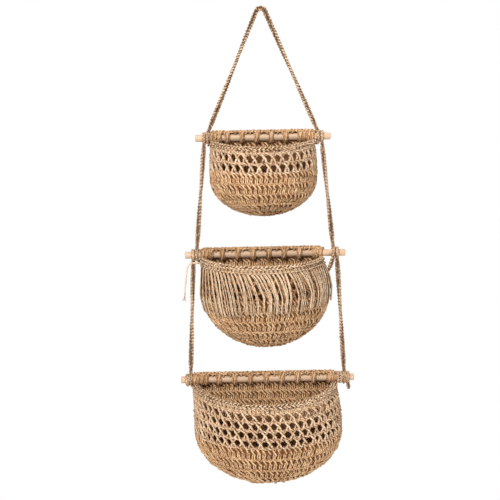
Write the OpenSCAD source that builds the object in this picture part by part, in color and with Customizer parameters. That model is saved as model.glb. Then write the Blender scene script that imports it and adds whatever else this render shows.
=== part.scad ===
/* [Hanging cord] */
// Height from the hook down to the axis of the top dowel
top_drop = 255; // [230:5:320]
// Height from the top dowel down to the middle dowel
middle_drop = 233; // [225:1:300]
// Height from the middle dowel down to the bottom dowel
bottom_drop = 249; // [240:1:320]
// Thickness of the crocheted cord
cord_d = 6.6; // [5.4:0.2:6.6]
// Radius of the cord's bend over the hook, at its centre line
hook_bend_r = 9.5; // [8:0.5:14]

/* [Dowels] */
// Diameter of the three wooden dowels
dowel_d = 14; // [12:0.5:14]
// Length of the top dowel
top_dowel_l = 270; // [262:2:300]
// Length of the middle dowel
middle_dowel_l = 320; // [312:2:350]
// Length of the bottom dowel
bottom_dowel_l = 345; // [340:1:380]
// Distance from the middle to the cords at the top dowel
top_cord_x = 114; // [114:1:118]
// Distance from the middle to the cords at the middle dowel
middle_cord_x = 140; // [140:1:144]
// Distance from the middle to the cords at the bottom dowel
bottom_cord_x = 157; // [157:1:158]

/* [Top basket] */
// Widest width of the top basket, without its seam
top_w = 210; // [190:2:210]
// Width of the top basket's back where the dowel runs through it
top_neck = 204; // [180:2:204]
// Height from the dowel's axis to the bottom of the top basket
top_h = 154; // [150:2:170]
// Height of the round bottom of the top basket
top_bowl = 75; // [60:1:80]
// Depth of the top basket, from its back to its front
top_depth = 90; // [80:2:120]
// How far the top basket's mouth sags in the middle
top_sag = 25; // [10:1:32]
// Holes in each openwork row of the top basket
top_holes = 18; // [14:1:20]
// Openwork rows of the top basket
top_mesh_rows = 2; // [1:1:2]
// Loops that cross in front of the top dowel
top_loops = 6; // [5:1:6]

/* [Middle basket] */
// Widest width of the middle basket, without its seam
middle_w = 254; // [240:2:258]
// Width of the middle basket's back where the dowel runs through it
middle_neck = 236; // [220:2:236]
// Height from the dowel's axis to the bottom of the middle basket
middle_h = 184; // [170:2:190]
// Height of the round bottom of the middle basket
middle_bowl = 114; // [90:1:116]
// Depth of the middle basket, from its back to its front
middle_depth = 108; // [90:2:130]
// How far the middle basket's mouth sags in the middle
middle_sag = 18; // [10:1:30]
// Holes in each openwork row of the middle basket
middle_holes = 22; // [18:1:24]
// Openwork rows of the middle basket
middle_mesh_rows = 3; // [1:1:3]
// Loops that cross in front of the middle dowel
middle_loops = 7; // [5:1:7]
// Strands of the fringe on the middle basket
fringe_strands = 44; // [30:1:48]
// Length of the fringe
fringe_l = 76; // [50:2:90]

/* [Bottom basket] */
// Widest width of the bottom basket, without its seam
bottom_w = 290; // [270:2:290]
// Width of the bottom basket's back where the dowel runs through it
bottom_neck = 280; // [250:2:280]
// Height from the dowel's axis to the bottom of the bottom basket
bottom_h = 207; // [190:1:220]
// Height of the round bottom of the bottom basket
bottom_bowl = 106; // [80:1:110]
// Depth of the bottom basket, from its back to its front
bottom_depth = 112; // [100:2:150]
// How far the bottom basket's mouth sags in the middle
bottom_sag = 28; // [10:1:32]
// Holes in each openwork row of the bottom basket
bottom_holes = 25; // [20:1:27]
// Openwork rows of the bottom basket
bottom_mesh_rows = 4; // [2:1:4]
// Loops that cross in front of the bottom dowel
bottom_loops = 8; // [6:1:8]

/* [Crochet] */
// Thickness of the crocheted fabric of a front pocket
fabric_t = 4.5; // [3.5:0.5:5]
// Thickness of the flat crocheted back panels
panel_t = 5.3; // [4:0.1:5.3]
// Height of one crocheted row
row_h = 18; // [16:0.5:20]
// Height of the edging round a mouth
rim_h = 6.5; // [5:0.5:8]
// Width of the seam that joins a pocket to its back
seam_w = 3; // [2:0.5:3]

/* [Hidden] */
$fn = 64;

jute = "#c8a073";
light_jute = "#e2c8a0";
cord_jute = "#b29778";
pale_wood = "#ebcba3";

// The hook's rod bears on the underside of the bend, which is the origin
bend_z = -(hook_bend_r - cord_d / 2);
top_z = -top_drop;
middle_z = top_z - middle_drop;
bottom_z = middle_z - bottom_drop;

// The dowel turns in the cord's wraps with a running clearance
dowel_r = dowel_d / 2;
wrap_clear = 0.08;
wrap_t = 5;
wrap_w = 7;
wrap_gap = 0.3;
wrap_r = dowel_r + wrap_clear + wrap_t / 2;
wrap_pitch = wrap_w + wrap_gap;
stub_l = 9;

// Back panels stand just behind the dowels, in one plane
panel_y = dowel_r + 0.2;
back_y = panel_y + panel_t;
panel_top = 8;
// The fabric of a pocket starts under its edging
pocket_top = panel_top + rim_h;
seam_top = pocket_top;
seam_y = panel_y - 2;
seam_back = back_y - 1;

// Loops lie against the dowel and are open behind it, down to just above the panel's first row
loop_w = 8;
loop_t = 4;
loop_r = dowel_r + 0.05;
loop_open_z = -6.5;

// What the surface of one basket is worked out from
function basket(z, w, neck, lean, h, bowl, depth, sag, holes, mesh_rows, collar, solid_rows) =
    [z, w / 2, neck / 2, lean, h - bowl, bowl, depth, sag, holes, mesh_rows, collar, solid_rows];
TOP = basket(top_z, top_w, top_neck, -1, top_h, top_bowl, top_depth, top_sag,
    top_holes, top_mesh_rows, row_h * 0.4, 6);
MIDDLE = basket(middle_z, middle_w, middle_neck, -8, middle_h, middle_bowl, middle_depth, middle_sag,
    middle_holes, middle_mesh_rows, row_h * 0.4, 6);
BOTTOM = basket(bottom_z, bottom_w, bottom_neck, -7, bottom_h, bottom_bowl, bottom_depth, bottom_sag,
    bottom_holes, bottom_mesh_rows, row_h * 0.4, 6);

function axis_z(b) = b[0];
function half(b) = b[1];
function neck(b) = b[2];
function lean(b) = b[3];
function shoulder(b) = b[4];
function bowl(b) = b[5];
function depth(b) = b[6];
function sag(b) = b[7];
function holes(b) = b[8];
function mesh_rows(b) = b[9];
function collar(b) = b[10];
function solid_rows(b) = b[11];
function columns(b) = 2 * holes(b) + 1;

// Depths below the dowel of the lowest point of a basket and of the middle of its sagging mouth
function bottom_s(b) = shoulder(b) + bowl(b);
function mouth_s(b) = pocket_top + sag(b);
// The front is a quarter of an oval from the mouth to the bottom: its height, and the fabric's length down it
function front_h(b) = bottom_s(b) - mouth_s(b);
function front_l(b) = 90 * PI / 180 * sqrt((pow(front_h(b), 2) + pow(depth(b), 2)) / 2);
// Angle round that oval at the share q of the way down, eased so that rows come out about as high all the way
row_ease = 0.2;
function turn_at(q) = 90 * q * (1 - row_ease * (1 - q));

// 1 at the dowel, falling to 0 at the shoulder where the round bottom begins
function rise(b, s) = max(0, 1 - (s - panel_top) / (shoulder(b) - panel_top));
// Cosine of the round bottom: 1 down to the shoulder, 0 at the lowest point
function roundness(b, s) = sqrt(max(0, 1 - pow(max(0, s - shoulder(b)) / bowl(b), 2)));
// Outline of a basket at a depth s below the dowel: half its width, its middle and its depth
function half_at(b, s) = (half(b) - (half(b) - neck(b)) * pow(rise(b, s), 2)) * roundness(b, s);
function middle_at(b, s) = lean(b) * pow(rise(b, s), 2);
function depth_at(b, s) = depth(b) * sqrt(max(0, 1 - pow(max(0, s - mouth_s(b)) / front_h(b), 2)));

// Depth below the dowel at the share q of the way down the fabric, at the angle a round the mouth:
// from the mouth, which sags towards the middle of the front, to the bottom
function fabric_s(b, a, q) =
    let (mouth = pocket_top + sag(b) * pow(abs(sin(a)), 1.5))
    mouth + (bottom_s(b) - mouth) * sin(turn_at(q));
function side_s(b, q) = fabric_s(b, 0, q);

// Outer face of the pocket, in the dowel's frame
function fabric(b, a, q) =
    let (s = fabric_s(b, a, q))
    [middle_at(b, s) + half_at(b, s) * cos(a), panel_y - depth_at(b, s) * sin(a), -s];
function unit(v) = v / norm(v);
function outward(b, a, q) =
    let (da = 0.5, dq = 0.004, q0 = max(dq, min(1 - dq, q)))
    unit(cross(fabric(b, a + da, q0) - fabric(b, a - da, q0), fabric(b, a, q0 + dq) - fabric(b, a, q0 - dq)));
function off_fabric(b, a, q, n) = fabric(b, a, q) + n * outward(b, a, q);

// Shares of the way down at which the rows of fabric begin and end:
// the collar, a hole and a band for each openwork row, and the solid rows
function mesh_start(b) = collar(b) / front_l(b);
function mesh_pitch(b) = row_h / front_l(b);
function mesh_end(b) = mesh_start(b) + (mesh_rows(b) + 0.25) * mesh_pitch(b);
function row_shares(b) = concat(
    [0],
    [for (k = [0 : mesh_rows(b) - 1], edge = [0.25, 0.8]) mesh_start(b) + (k + edge) * mesh_pitch(b)],
    [for (k = [0 : solid_rows(b)]) mesh_end(b) + (0.95 - mesh_end(b)) * k / solid_rows(b)]
);
// Angles of the columns of stitches round the mouth, from the left side to the right
function angles(b) = [for (i = [0 : columns(b)]) 180 * (1 - i / columns(b))];

// A hole is left in every second cell of each openwork row, one cell over from row to row
function is_hole(b, i, j) =
    j % 2 == 1 && j < 2 * mesh_rows(b) && i > 0 && i < columns(b) - 1 && (i + (j - 1) / 2) % 2 == 1;

// A shell whose cells are closed on both faces, or left open with a wall all round
module front_pocket(b) {
    rows = row_shares(b);
    turns = angles(b);
    nr = len(rows);
    nc = len(turns);
    count = nr * nc;
    outer = [for (a = turns, q = rows) fabric(b, a, q)];
    inner = [for (a = turns, q = rows) off_fabric(b, a, q, -fabric_t)];
    low = -bottom_s(b);
    poles = [[0, panel_y, low], [0, panel_y, low + fabric_t]];
    outer_pole = 2 * count;
    inner_pole = outer_pole + 1;
    cells = [for (i = [0 : nc - 2], j = [0 : nr - 2]) [i, j]];
    closed = [for (c = cells) if (!is_hole(b, c[0], c[1])) c];
    open = [for (c = cells) if (is_hole(b, c[0], c[1])) c];
    function at(i, j) = i * nr + j;
    function wall(p, q) = [[p, q, q + count], [p, q + count, p + count]];
    faces = concat(
        [for (c = closed, f = [0, 1]) let (p = at(c[0], c[1]), q = at(c[0] + 1, c[1]))
            f == 0 ? [p, q, q + 1] : [p, q + 1, p + 1]],
        [for (c = closed, f = [0, 1]) let (p = at(c[0], c[1]) + count, q = at(c[0] + 1, c[1]) + count)
            f == 0 ? [p, q + 1, q] : [p, p + 1, q + 1]],
        [for (c = open) let (p = at(c[0], c[1]), q = at(c[0] + 1, c[1])) each concat(
            wall(p, q), wall(q, q + 1), wall(q + 1, p + 1), wall(p + 1, p))],
        [for (i = [0 : nc - 2]) each wall(at(i + 1, 0), at(i, 0))],
        [for (j = [0 : nr - 2]) each concat(wall(at(0, j), at(0, j + 1)), wall(at(nc - 1, j + 1), at(nc - 1, j)))],
        [for (i = [0 : nc - 2]) each [
            [at(i, nr - 1), at(i + 1, nr - 1), outer_pole],
            [at(i + 1, nr - 1) + count, at(i, nr - 1) + count, inner_pole]]],
        [
            [at(0, nr - 1), outer_pole, inner_pole], [at(0, nr - 1), inner_pole, at(0, nr - 1) + count],
            [outer_pole, at(nc - 1, nr - 1), at(nc - 1, nr - 1) + count],
            [outer_pole, at(nc - 1, nr - 1) + count, inner_pole]
        ]
    );
    translate([0, 0, axis_z(b)]) polyhedron(points = concat(outer, inner, poles), faces = faces, convexity = 12);
}

// A band that follows the mouth: its section is a list of [share down, offset outward, height above]
module mouth_band(b, section) {
    turns = angles(b);
    n = len(section);
    nc = len(turns);
    points = [for (a = turns, p = section) off_fabric(b, a, p[0], p[1]) + [0, 0, p[2]]];
    sides = [for (i = [0 : nc - 2], k = [0 : n - 1], f = [0, 1])
        let (p = i * n + k, q = i * n + (k + 1) % n)
        f == 0 ? [p, q + n, p + n] : [p, q, q + n]];
    first = [for (k = [1 : n - 2]) [0, k + 1, k]];
    last = [for (k = [1 : n - 2]) [(nc - 1) * n, (nc - 1) * n + k, (nc - 1) * n + k + 1]];
    translate([0, 0, axis_z(b)]) polyhedron(points = points, faces = concat(sides, first, last), convexity = 8);
}

// Edging round a mouth: it stands on the pocket's top edge and bulges past both faces
module rim(b) {
    bulge = 1.3;
    mouth_band(b, [
        [0, 0, 0],
        [0, bulge, 0.35 * rim_h],
        [0, 0.5, rim_h],
        [0, -fabric_t - 0.5, rim_h],
        [0, -fabric_t - bulge, 0.35 * rim_h],
        [0, -fabric_t, 0]
    ]);
}

// Points down one side of the back's outline, from the depth s0 to the lowest point
function outline_depths(b, s0) =
    concat([s0], [for (q = row_shares(b)) if (side_s(b, q) > s0 + 0.1) side_s(b, q)]);
function outline_point(b, s, side, out) =
    let (
        ds = 0.5,
        p = [middle_at(b, s) + side * half_at(b, s), -s],
        ahead = [middle_at(b, s + ds) + side * half_at(b, s + ds), -s - ds],
        along = unit(ahead - p)
    )
    p + out * side * [-along[1], along[0]];
function outline(b, s0, out) = concat(
    [for (s = outline_depths(b, s0)) outline_point(b, s, -1, out)],
    [[0, -bottom_s(b) - out]],
    [for (k = [len(outline_depths(b, s0)) - 1 : -1 : 0]) outline_point(b, outline_depths(b, s0)[k], 1, out)]
);

// Turns a drawing in x and z into a plate between two depths
module plate(y0, y1) {
    translate([0, y1, 0]) rotate([90, 0, 0]) linear_extrude(y1 - y0) children();
}

// Positions of the loops that cross in front of a dowel
function loop_places(count, pitch, shift) = [for (k = [0 : count - 1]) (k - (count - 1) / 2) * pitch + shift];

// Flat back: its top row passes behind the dowel and is open behind each front loop
module back_panel(b, places) {
    difference() {
        translate([0, 0, axis_z(b)]) plate(panel_y, back_y) union() {
            polygon(outline(b, panel_top, 0));
            translate([lean(b) - neck(b), -panel_top]) square([2 * neck(b), panel_top + loop_r]);
        }
        for (x = places) translate([x - loop_w / 2, panel_y - 1, axis_z(b) - dowel_r + 1])
            cube([loop_w, panel_t + 2, dowel_d - 2]);
    }
}

module side_seam(b) {
    translate([0, 0, axis_z(b)]) plate(seam_y, seam_back) difference() {
        polygon(outline(b, seam_top, seam_w));
        polygon(outline(b, seam_top, 0));
        translate([-half(b) * 2, -seam_top]) square([half(b) * 4, seam_top]);
    }
}

// A round bar between two points
module bar(p, q, d) {
    v = q - p;
    l = norm(v);
    translate(p) rotate([0, acos(v[2] / l), atan2(v[1], v[0])]) cylinder(d = d, h = l);
}

// A flat band of cord, w wide and t thick, in section
module band_section(w, t) {
    translate([0, -(w - t) / 2]) circle(d = t);
    translate([0, (w - t) / 2]) circle(d = t);
    translate([-t / 2, -(w - t) / 2]) square([t, w - t]);
}

// One wrap of cord round a dowel, at x along it
module wrap(x, z) {
    translate([x, 0, z]) rotate([0, 90, 0]) rotate_extrude() translate([wrap_r, 0]) band_section(wrap_w, wrap_t);
}

// Section of a loop over a dowel: flat inside, with its outer corners cut back
module loop_section() {
    w = loop_w / 2;
    out = loop_r + loop_t;
    cut = 1.2;
    polygon([[loop_r, -w], [out - cut, -w], [out, cut - w], [out, w - cut], [out - cut, w], [loop_r, w]]);
}

// Loops over the front of a dowel, hung from the chain edge above it
module dowel_loops(b, places) {
    edge_d = 5;
    edge_z = loop_r + edge_d / 2;
    wide = 4 * half(b);
    translate([0, 0, axis_z(b)]) {
        translate([lean(b) - neck(b), 0, 0]) {
            for (y = [-2, back_y - edge_d / 2]) translate([0, y, edge_z]) rotate([0, 90, 0])
                cylinder(d = edge_d, h = 2 * neck(b));
            translate([0, -2, edge_z - edge_d / 2]) cube([2 * neck(b), back_y - edge_d / 2 + 2, edge_d]);
        }
        difference() {
            for (x = places) translate([x, 0, 0]) rotate([0, 90, 0]) rotate_extrude() loop_section();
            translate([-wide / 2, panel_y, -dowel_d]) cube([wide, dowel_d, dowel_d * 2]);
            translate([-wide / 2, -dowel_d, edge_z]) cube([wide, dowel_d * 2, dowel_d]);
            translate([-wide / 2, 0, loop_open_z]) cube([wide, dowel_d, dowel_d * 2]);
        }
    }
}

module dowel(z, l) {
    chamfer = 1;
    translate([-l / 2, 0, z]) rotate([0, 90, 0]) {
        cylinder(r1 = dowel_r - chamfer, r2 = dowel_r, h = chamfer);
        translate([0, 0, chamfer]) cylinder(r = dowel_r, h = l - 2 * chamfer);
        translate([0, 0, l - chamfer]) cylinder(r1 = dowel_r, r2 = dowel_r - chamfer, h = chamfer);
    }
}

// Where the cords meet the wraps, on the right-hand side: a cord comes down to the inner wrap
// and the next one leaves from the outer wrap
function inner_wrap(x) = x - wrap_pitch / 2;
function outer_wrap(x) = x + wrap_pitch / 2;
function wrap_top(x, z) = [inner_wrap(x), 0, z + wrap_r];
function wrap_bottom(x, z) = [outer_wrap(x), 0, z - wrap_r];

// The leg of the hanging cord touches the bend: its angle from upright
hitch_top = wrap_top(top_cord_x, top_z);
leg_v = [hitch_top[0], hitch_top[2] - bend_z];
leg_l = sqrt(leg_v * leg_v - hook_bend_r * hook_bend_r);
leg_a = atan2(leg_v[0], -leg_v[1]) - atan2(hook_bend_r, leg_l);
leg_start = [hook_bend_r * cos(leg_a), 0, bend_z + hook_bend_r * sin(leg_a)];
leg_dir = [sin(leg_a), 0, -cos(leg_a)];

function mirrored(p, side) = [side * p[0], p[1], p[2]];

module hanging_cord() {
    color(cord_jute) {
        translate([0, 0, bend_z]) rotate([90, 0, 0]) rotate([0, 0, leg_a]) rotate_extrude(angle = 180 - 2 * leg_a)
            translate([hook_bend_r, 0]) circle(d = cord_d);
        for (side = [-1, 1])
            bar(mirrored(leg_start, side), mirrored(leg_start + (leg_l - stub_l) * leg_dir, side), cord_d);
    }
}

// Hitch on a dowel: a wrap, a thinner one over it and the stub that the cord from above runs into
module hitch(x, z, side, cord_dir) {
    p = mirrored(wrap_top(x, z), side);
    over_d = 4;
    color(cord_jute) {
        wrap(side * inner_wrap(x), z);
        translate([side * inner_wrap(x), 0, z]) rotate([0, 90, 0]) rotate_extrude()
            translate([wrap_r + wrap_t / 2, 0]) circle(d = over_d);
        bar(p, p - stub_l * cord_dir, cord_d);
    }
}

module top_hitch(side) {
    hitch(top_cord_x, top_z, side, mirrored(leg_dir, side));
}

// Small knot under the right-hand hitch
module hitch_knot(x, z) {
    color(cord_jute) translate([x, -1, z - wrap_r - wrap_t / 2 - 2]) sphere(r = 3.2);
}

// Cord between two dowels: its own wrap round the upper dowel and the straight run below it
module tier_cord(x0, z0, x1, z1, side) {
    p = mirrored(wrap_bottom(x0, z0), side);
    q = mirrored(wrap_top(x1, z1), side);
    color(cord_jute) {
        wrap(side * outer_wrap(x0), z0);
        bar(p, q - stub_l * unit(q - p), cord_d);
    }
}
function cord_dir(x0, z0, x1, z1, side) = unit(mirrored(wrap_top(x1, z1) - wrap_bottom(x0, z0), side));

module middle_cord(side) {
    tier_cord(top_cord_x, top_z, middle_cord_x, middle_z, side);
}

module middle_hitch(side) {
    hitch(middle_cord_x, middle_z, side, cord_dir(top_cord_x, top_z, middle_cord_x, middle_z, side));
}

module bottom_cord(side) {
    tier_cord(middle_cord_x, middle_z, bottom_cord_x, bottom_z, side);
}

// Knot that ends the cord on the bottom dowel: the hitch and further wraps beside it
module bottom_knot(side, wraps_in, wraps_out) {
    x = bottom_cord_x;
    hitch(x, bottom_z, side, cord_dir(middle_cord_x, middle_z, x, bottom_z, side));
    color(cord_jute) for (k = [-wraps_in : wraps_out]) if (k != 0)
        wrap(side * (inner_wrap(x) + k * (wrap_w - 0.4)), bottom_z);
}

// Cut end of the cord under the right-hand knot
module cord_end() {
    x = inner_wrap(bottom_cord_x) + wrap_w - 0.4;
    color(cord_jute) bar([x, -2, bottom_z - wrap_r], [x + 2, -3, bottom_z - wrap_r - 14], cord_d);
}

// Points of a tube with its rings square to the route and n sides
function route_dir(route, k) = unit(route[min(len(route) - 1, k + 1)] - route[max(0, k - 1)]);
function ring(c, v, r, n) =
    let (side = unit(cross(v, abs(v[1]) < 0.9 ? [0, 1, 0] : [1, 0, 0])), up = cross(side, v))
    [for (k = [0 : n - 1]) c + r * (side * cos(360 * k / n) + up * sin(360 * k / n))];
function tube_points(route, radii, n) =
    [for (k = [0 : len(route) - 1]) each ring(route[k], route_dir(route, k), radii[k], n)];
function tube_faces(count, n, first) = concat(
    [for (i = [0 : count - 2], k = [0 : n - 1], f = [0, 1])
        let (p = first + i * n + k, q = first + i * n + (k + 1) % n)
        f == 0 ? [p, q, q + n] : [p, q + n, p + n]],
    [for (k = [1 : n - 2]) [first, first + k + 1, first + k]],
    [for (k = [1 : n - 2]) let (last = first + (count - 1) * n) [last, last + k, last + k + 1]]
);

// Tubes of one ring count in one solid: each has its own route and shares the radii along it
module tubes(routes, radii, n) {
    count = len(radii);
    polyhedron(
        points = [for (route = routes) each tube_points(route, radii, n)],
        faces = [for (k = [0 : len(routes) - 1]) each tube_faces(count, n, k * count * n)],
        convexity = 10
    );
}

// Fringe strand k: from the edging down over the collar, then down the front and a little off it,
// leaning to the right and ending at an uneven length
strand_d = 3.4;
function strand_route(b, k) =
    let (
        share = k / (fringe_strands - 1),
        a = 168 - 156 * share,
        turn = -3.2 * sin(180 * share) * share,
        clear = strand_d / 2 + 1.6,
        collar_q = mesh_start(b),
        top = off_fabric(b, a, 0, 2.1) + [0, 0, 3.5],
        under = off_fabric(b, a, collar_q, 2.6),
        mid = off_fabric(b, a + turn * 0.5, collar_q + 0.4 * fringe_l / front_l(b), clear),
        low = off_fabric(b, a + turn, collar_q + fringe_l / front_l(b), clear + 3),
        left = fringe_l - norm(under - top) - norm(mid - under) - 3 * (k % 3)
    )
    [top, under, mid, mid + left * unit(low - mid)];
module middle_fringe() {
    r = strand_d / 2;
    routes = [for (k = [0 : fringe_strands - 1]) strand_route(MIDDLE, k)];
    color(light_jute) translate([0, 0, middle_z]) tubes(routes, [r, r, r, 0.8 * r], 6);
}

// Loose end of yarn: from the left end of the mouth over the hitch, then down outside the cord
// to a frayed tuft
tail_route = [
    [-127, -4, -12], [-129.5, -9, -15], [-134, -16, -16.5], [-141, -17.5, -15.5], [-147, -15, -17],
    [-151.5, -11, -24], [-154, -8, -36], [-157, -7, -54], [-160, -6, -74], [-161, -6, -90]
];
module middle_yarn_tail() {
    tail_r = 1.5;
    tuft_r = 3;
    radii = [for (k = [1 : len(tail_route) - 1]) tail_r];
    color(light_jute) translate([0, 0, middle_z]) tubes([tail_route], concat(radii, [tuft_r]), 8);
}

// Short braid from the right-hand hitch down to the side of the middle basket
braid_route = [[137, -17, -2], [134.5, -17, -10], [131, -14, -20], [127.5, -8, -30], [124.2, -3, -38]];
module middle_side_braid() {
    radii = [for (p = braid_route) 2.5];
    color(cord_jute) translate([0, 0, middle_z]) tubes([braid_route], radii, 8);
}

top_places = loop_places(top_loops, 29, 2);
middle_places = loop_places(middle_loops, 30.7, 7);
bottom_places = loop_places(bottom_loops, 31.4, 13);

module top_dowel() { color(pale_wood) dowel(top_z, top_dowel_l); }
module middle_dowel() { color(pale_wood) dowel(middle_z, middle_dowel_l); }
module bottom_dowel() { color(pale_wood) dowel(bottom_z, bottom_dowel_l); }

module top_dowel_loops() { color(jute) dowel_loops(TOP, top_places); }
module middle_dowel_loops() { color(jute) dowel_loops(MIDDLE, middle_places); }
module bottom_dowel_loops() { color(jute) dowel_loops(BOTTOM, bottom_places); }

module top_back_panel() { color(jute) back_panel(TOP, top_places); }
module middle_back_panel() { color(jute) back_panel(MIDDLE, middle_places); }
module bottom_back_panel() { color(jute) back_panel(BOTTOM, bottom_places); }

module top_side_seam() { color(jute) side_seam(TOP); }
module middle_side_seam() { color(jute) side_seam(MIDDLE); }
module bottom_side_seam() { color(jute) side_seam(BOTTOM); }

module top_front_pocket() { color(jute) front_pocket(TOP); }
module middle_front_pocket() { color(jute) front_pocket(MIDDLE); }
module bottom_front_pocket() { color(jute) front_pocket(BOTTOM); }

module top_rim() { color(light_jute) rim(TOP); }
module middle_rim() { color(light_jute) rim(MIDDLE); }
module bottom_rim() { color(light_jute) rim(BOTTOM); }

module top_hitch_left() { top_hitch(-1); }
module top_hitch_right() {
    top_hitch(1);
    hitch_knot(inner_wrap(top_cord_x), top_z);
}
module middle_cord_left() { middle_cord(-1); }
module middle_cord_right() { middle_cord(1); }
module middle_hitch_left() { middle_hitch(-1); }
module middle_hitch_right() { middle_hitch(1); }
module bottom_cord_left() { bottom_cord(-1); }
module bottom_cord_right() { bottom_cord(1); }
module bottom_knot_left() { bottom_knot(-1, 0, 1); }
module bottom_knot_right() {
    bottom_knot(1, 2, 1);
    cord_end();
}

hanging_cord();
top_hitch_left();
top_hitch_right();
top_dowel();
top_dowel_loops();
top_back_panel();
top_side_seam();
top_front_pocket();
top_rim();
middle_cord_left();
middle_cord_right();
middle_hitch_left();
middle_hitch_right();
middle_dowel();
middle_dowel_loops();
middle_back_panel();
middle_side_seam();
middle_front_pocket();
middle_rim();
middle_fringe();
middle_yarn_tail();
middle_side_braid();
bottom_cord_left();
bottom_cord_right();
bottom_knot_left();
bottom_knot_right();
bottom_dowel();
bottom_dowel_loops();
bottom_back_panel();
bottom_side_seam();
bottom_front_pocket();
bottom_rim();
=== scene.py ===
"""Looks of a wall-hanging basket: three crocheted jute pockets on three wooden dowels, hung by a crocheted cord.

Every piece is yarn worked out stitch by stitch. Lengths are in millimetres until a mesh is written, in the frame of
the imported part: x to the right, y away from the viewer, z up, with the hook's rod at the origin.
"""

import logging
import math
from dataclasses import dataclass, field
from enum import Enum
from typing import Callable

import bpy
import numpy as np
from mathutils import Matrix, Vector

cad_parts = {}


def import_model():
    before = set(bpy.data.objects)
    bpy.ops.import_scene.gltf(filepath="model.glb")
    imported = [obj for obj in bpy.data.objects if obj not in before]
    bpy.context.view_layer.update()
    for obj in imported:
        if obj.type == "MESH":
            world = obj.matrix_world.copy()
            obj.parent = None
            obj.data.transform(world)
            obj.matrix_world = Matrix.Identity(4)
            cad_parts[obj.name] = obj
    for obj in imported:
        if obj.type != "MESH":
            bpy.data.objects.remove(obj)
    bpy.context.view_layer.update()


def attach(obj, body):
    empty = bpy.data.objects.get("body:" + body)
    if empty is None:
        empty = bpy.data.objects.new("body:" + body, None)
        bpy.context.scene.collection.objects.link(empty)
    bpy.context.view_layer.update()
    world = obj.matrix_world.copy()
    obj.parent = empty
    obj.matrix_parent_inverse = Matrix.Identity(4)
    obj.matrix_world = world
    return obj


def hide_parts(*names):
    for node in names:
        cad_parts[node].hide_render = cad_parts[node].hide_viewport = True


Array = np.ndarray
MM = 0.001
log = logging.getLogger("hanging_basket")

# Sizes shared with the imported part
DOWEL_R = 7.0
PANEL_Y = 7.2
PANEL_T = 5.3
PANEL_MID = PANEL_Y + PANEL_T / 2
PANEL_TOP = 8.0
RIM_H = 6.5
POCKET_TOP = PANEL_TOP + RIM_H
ROW_H = 18.0
ROW_EASE = 0.2
SEAM_W = 3.0
STITCH_W = 8.8
EDGE_Z = 9.55
BEND_R = 9.5
BEND_Z = -6.2
CORD_D = 6.6
WRAP_R = 9.58
WRAP_PITCH = 7.3
STUB = 9.0
YARN_R = 1.6


class Side(Enum):
    """Left or right half of the hanger, as the sign of x."""

    LEFT = -1
    RIGHT = 1


class Slot(Enum):
    """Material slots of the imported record."""

    BASKET = "basket_jute"
    EDGING = "edging_jute"
    FRINGE = "fringe_yarn"
    CORD = "cord_jute"
    WOOD = "dowel_wood"


# Curves and tubes


def unit(v: Array) -> Array:
    """Vectors of the last axis divided by their lengths."""
    return v / np.maximum(np.linalg.norm(v, axis=-1, keepdims=True), 1e-12)


def smooth(knots: Array, per: int) -> Array:
    """Catmull-Rom curve through knots: on each span a cubic whose end slopes are half the chord of the two knots around.

    Args:
        knots: (..., K, D) points that the curve passes.
        per: points on each span.

    Returns:
        (..., (K - 1) * per + 1, D) points.
    """
    first = 2 * knots[..., :1, :] - knots[..., 1:2, :]
    last = 2 * knots[..., -1:, :] - knots[..., -2:-1, :]
    p = np.concatenate([first, knots, last], axis=-2)
    t = (np.arange(per) / per)[:, None]
    a, b, c, d = (p[..., k : p.shape[-2] - 3 + k, None, :] for k in range(4))
    span = 0.5 * (2 * b + (c - a) * t + (2 * a - 5 * b + 4 * c - d) * t**2 + (3 * b - a - 3 * c + d) * t**3)
    flat = span.reshape(*span.shape[:-3], -1, span.shape[-1])
    return np.concatenate([flat, knots[..., -1:, :]], axis=-2)


def frames(route: Array) -> tuple[Array, Array]:
    """Two cross directions along each route that don't spin about it.

    Any cross direction is picked at each point. The angle by which it differs from the one before, carried over by
    the smallest rotation between the two tangents, is summed along the route and taken off.

    Args:
        route: (S, N, 3) points.

    Returns:
        (S, N, 3) directions u and v, with u x v along the route.
    """
    t = np.gradient(route, axis=1)
    t = unit(t)
    pick = np.where(np.abs(t[..., 1:2]) < 0.8, np.array([0.0, 1.0, 0.0]), np.array([1.0, 0.0, 0.0]))
    a = unit(pick - (pick * t).sum(-1, keepdims=True) * t)
    b = np.cross(t, a)
    here, ahead = t[:, :-1], t[:, 1:]
    both = here + ahead
    turn = (a[:, :-1] * ahead).sum(-1, keepdims=True) / np.maximum(1 + (here * ahead).sum(-1, keepdims=True), 1e-6)
    carried = a[:, :-1] - turn * both
    angle = np.arctan2((carried * b[:, 1:]).sum(-1), (carried * a[:, 1:]).sum(-1))
    total = np.concatenate([np.zeros((len(route), 1)), np.cumsum(angle, axis=1)], axis=1)[..., None]
    u = np.cos(total) * a + np.sin(total) * b
    return u, np.cross(t, u)


@dataclass
class Tubes:
    """Tubes of one ring count: rings of points round each route, with the length along it and its lightness for
    painted shade.
    """

    rings: Array
    arc: Array
    light: Array
    girth: float


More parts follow.
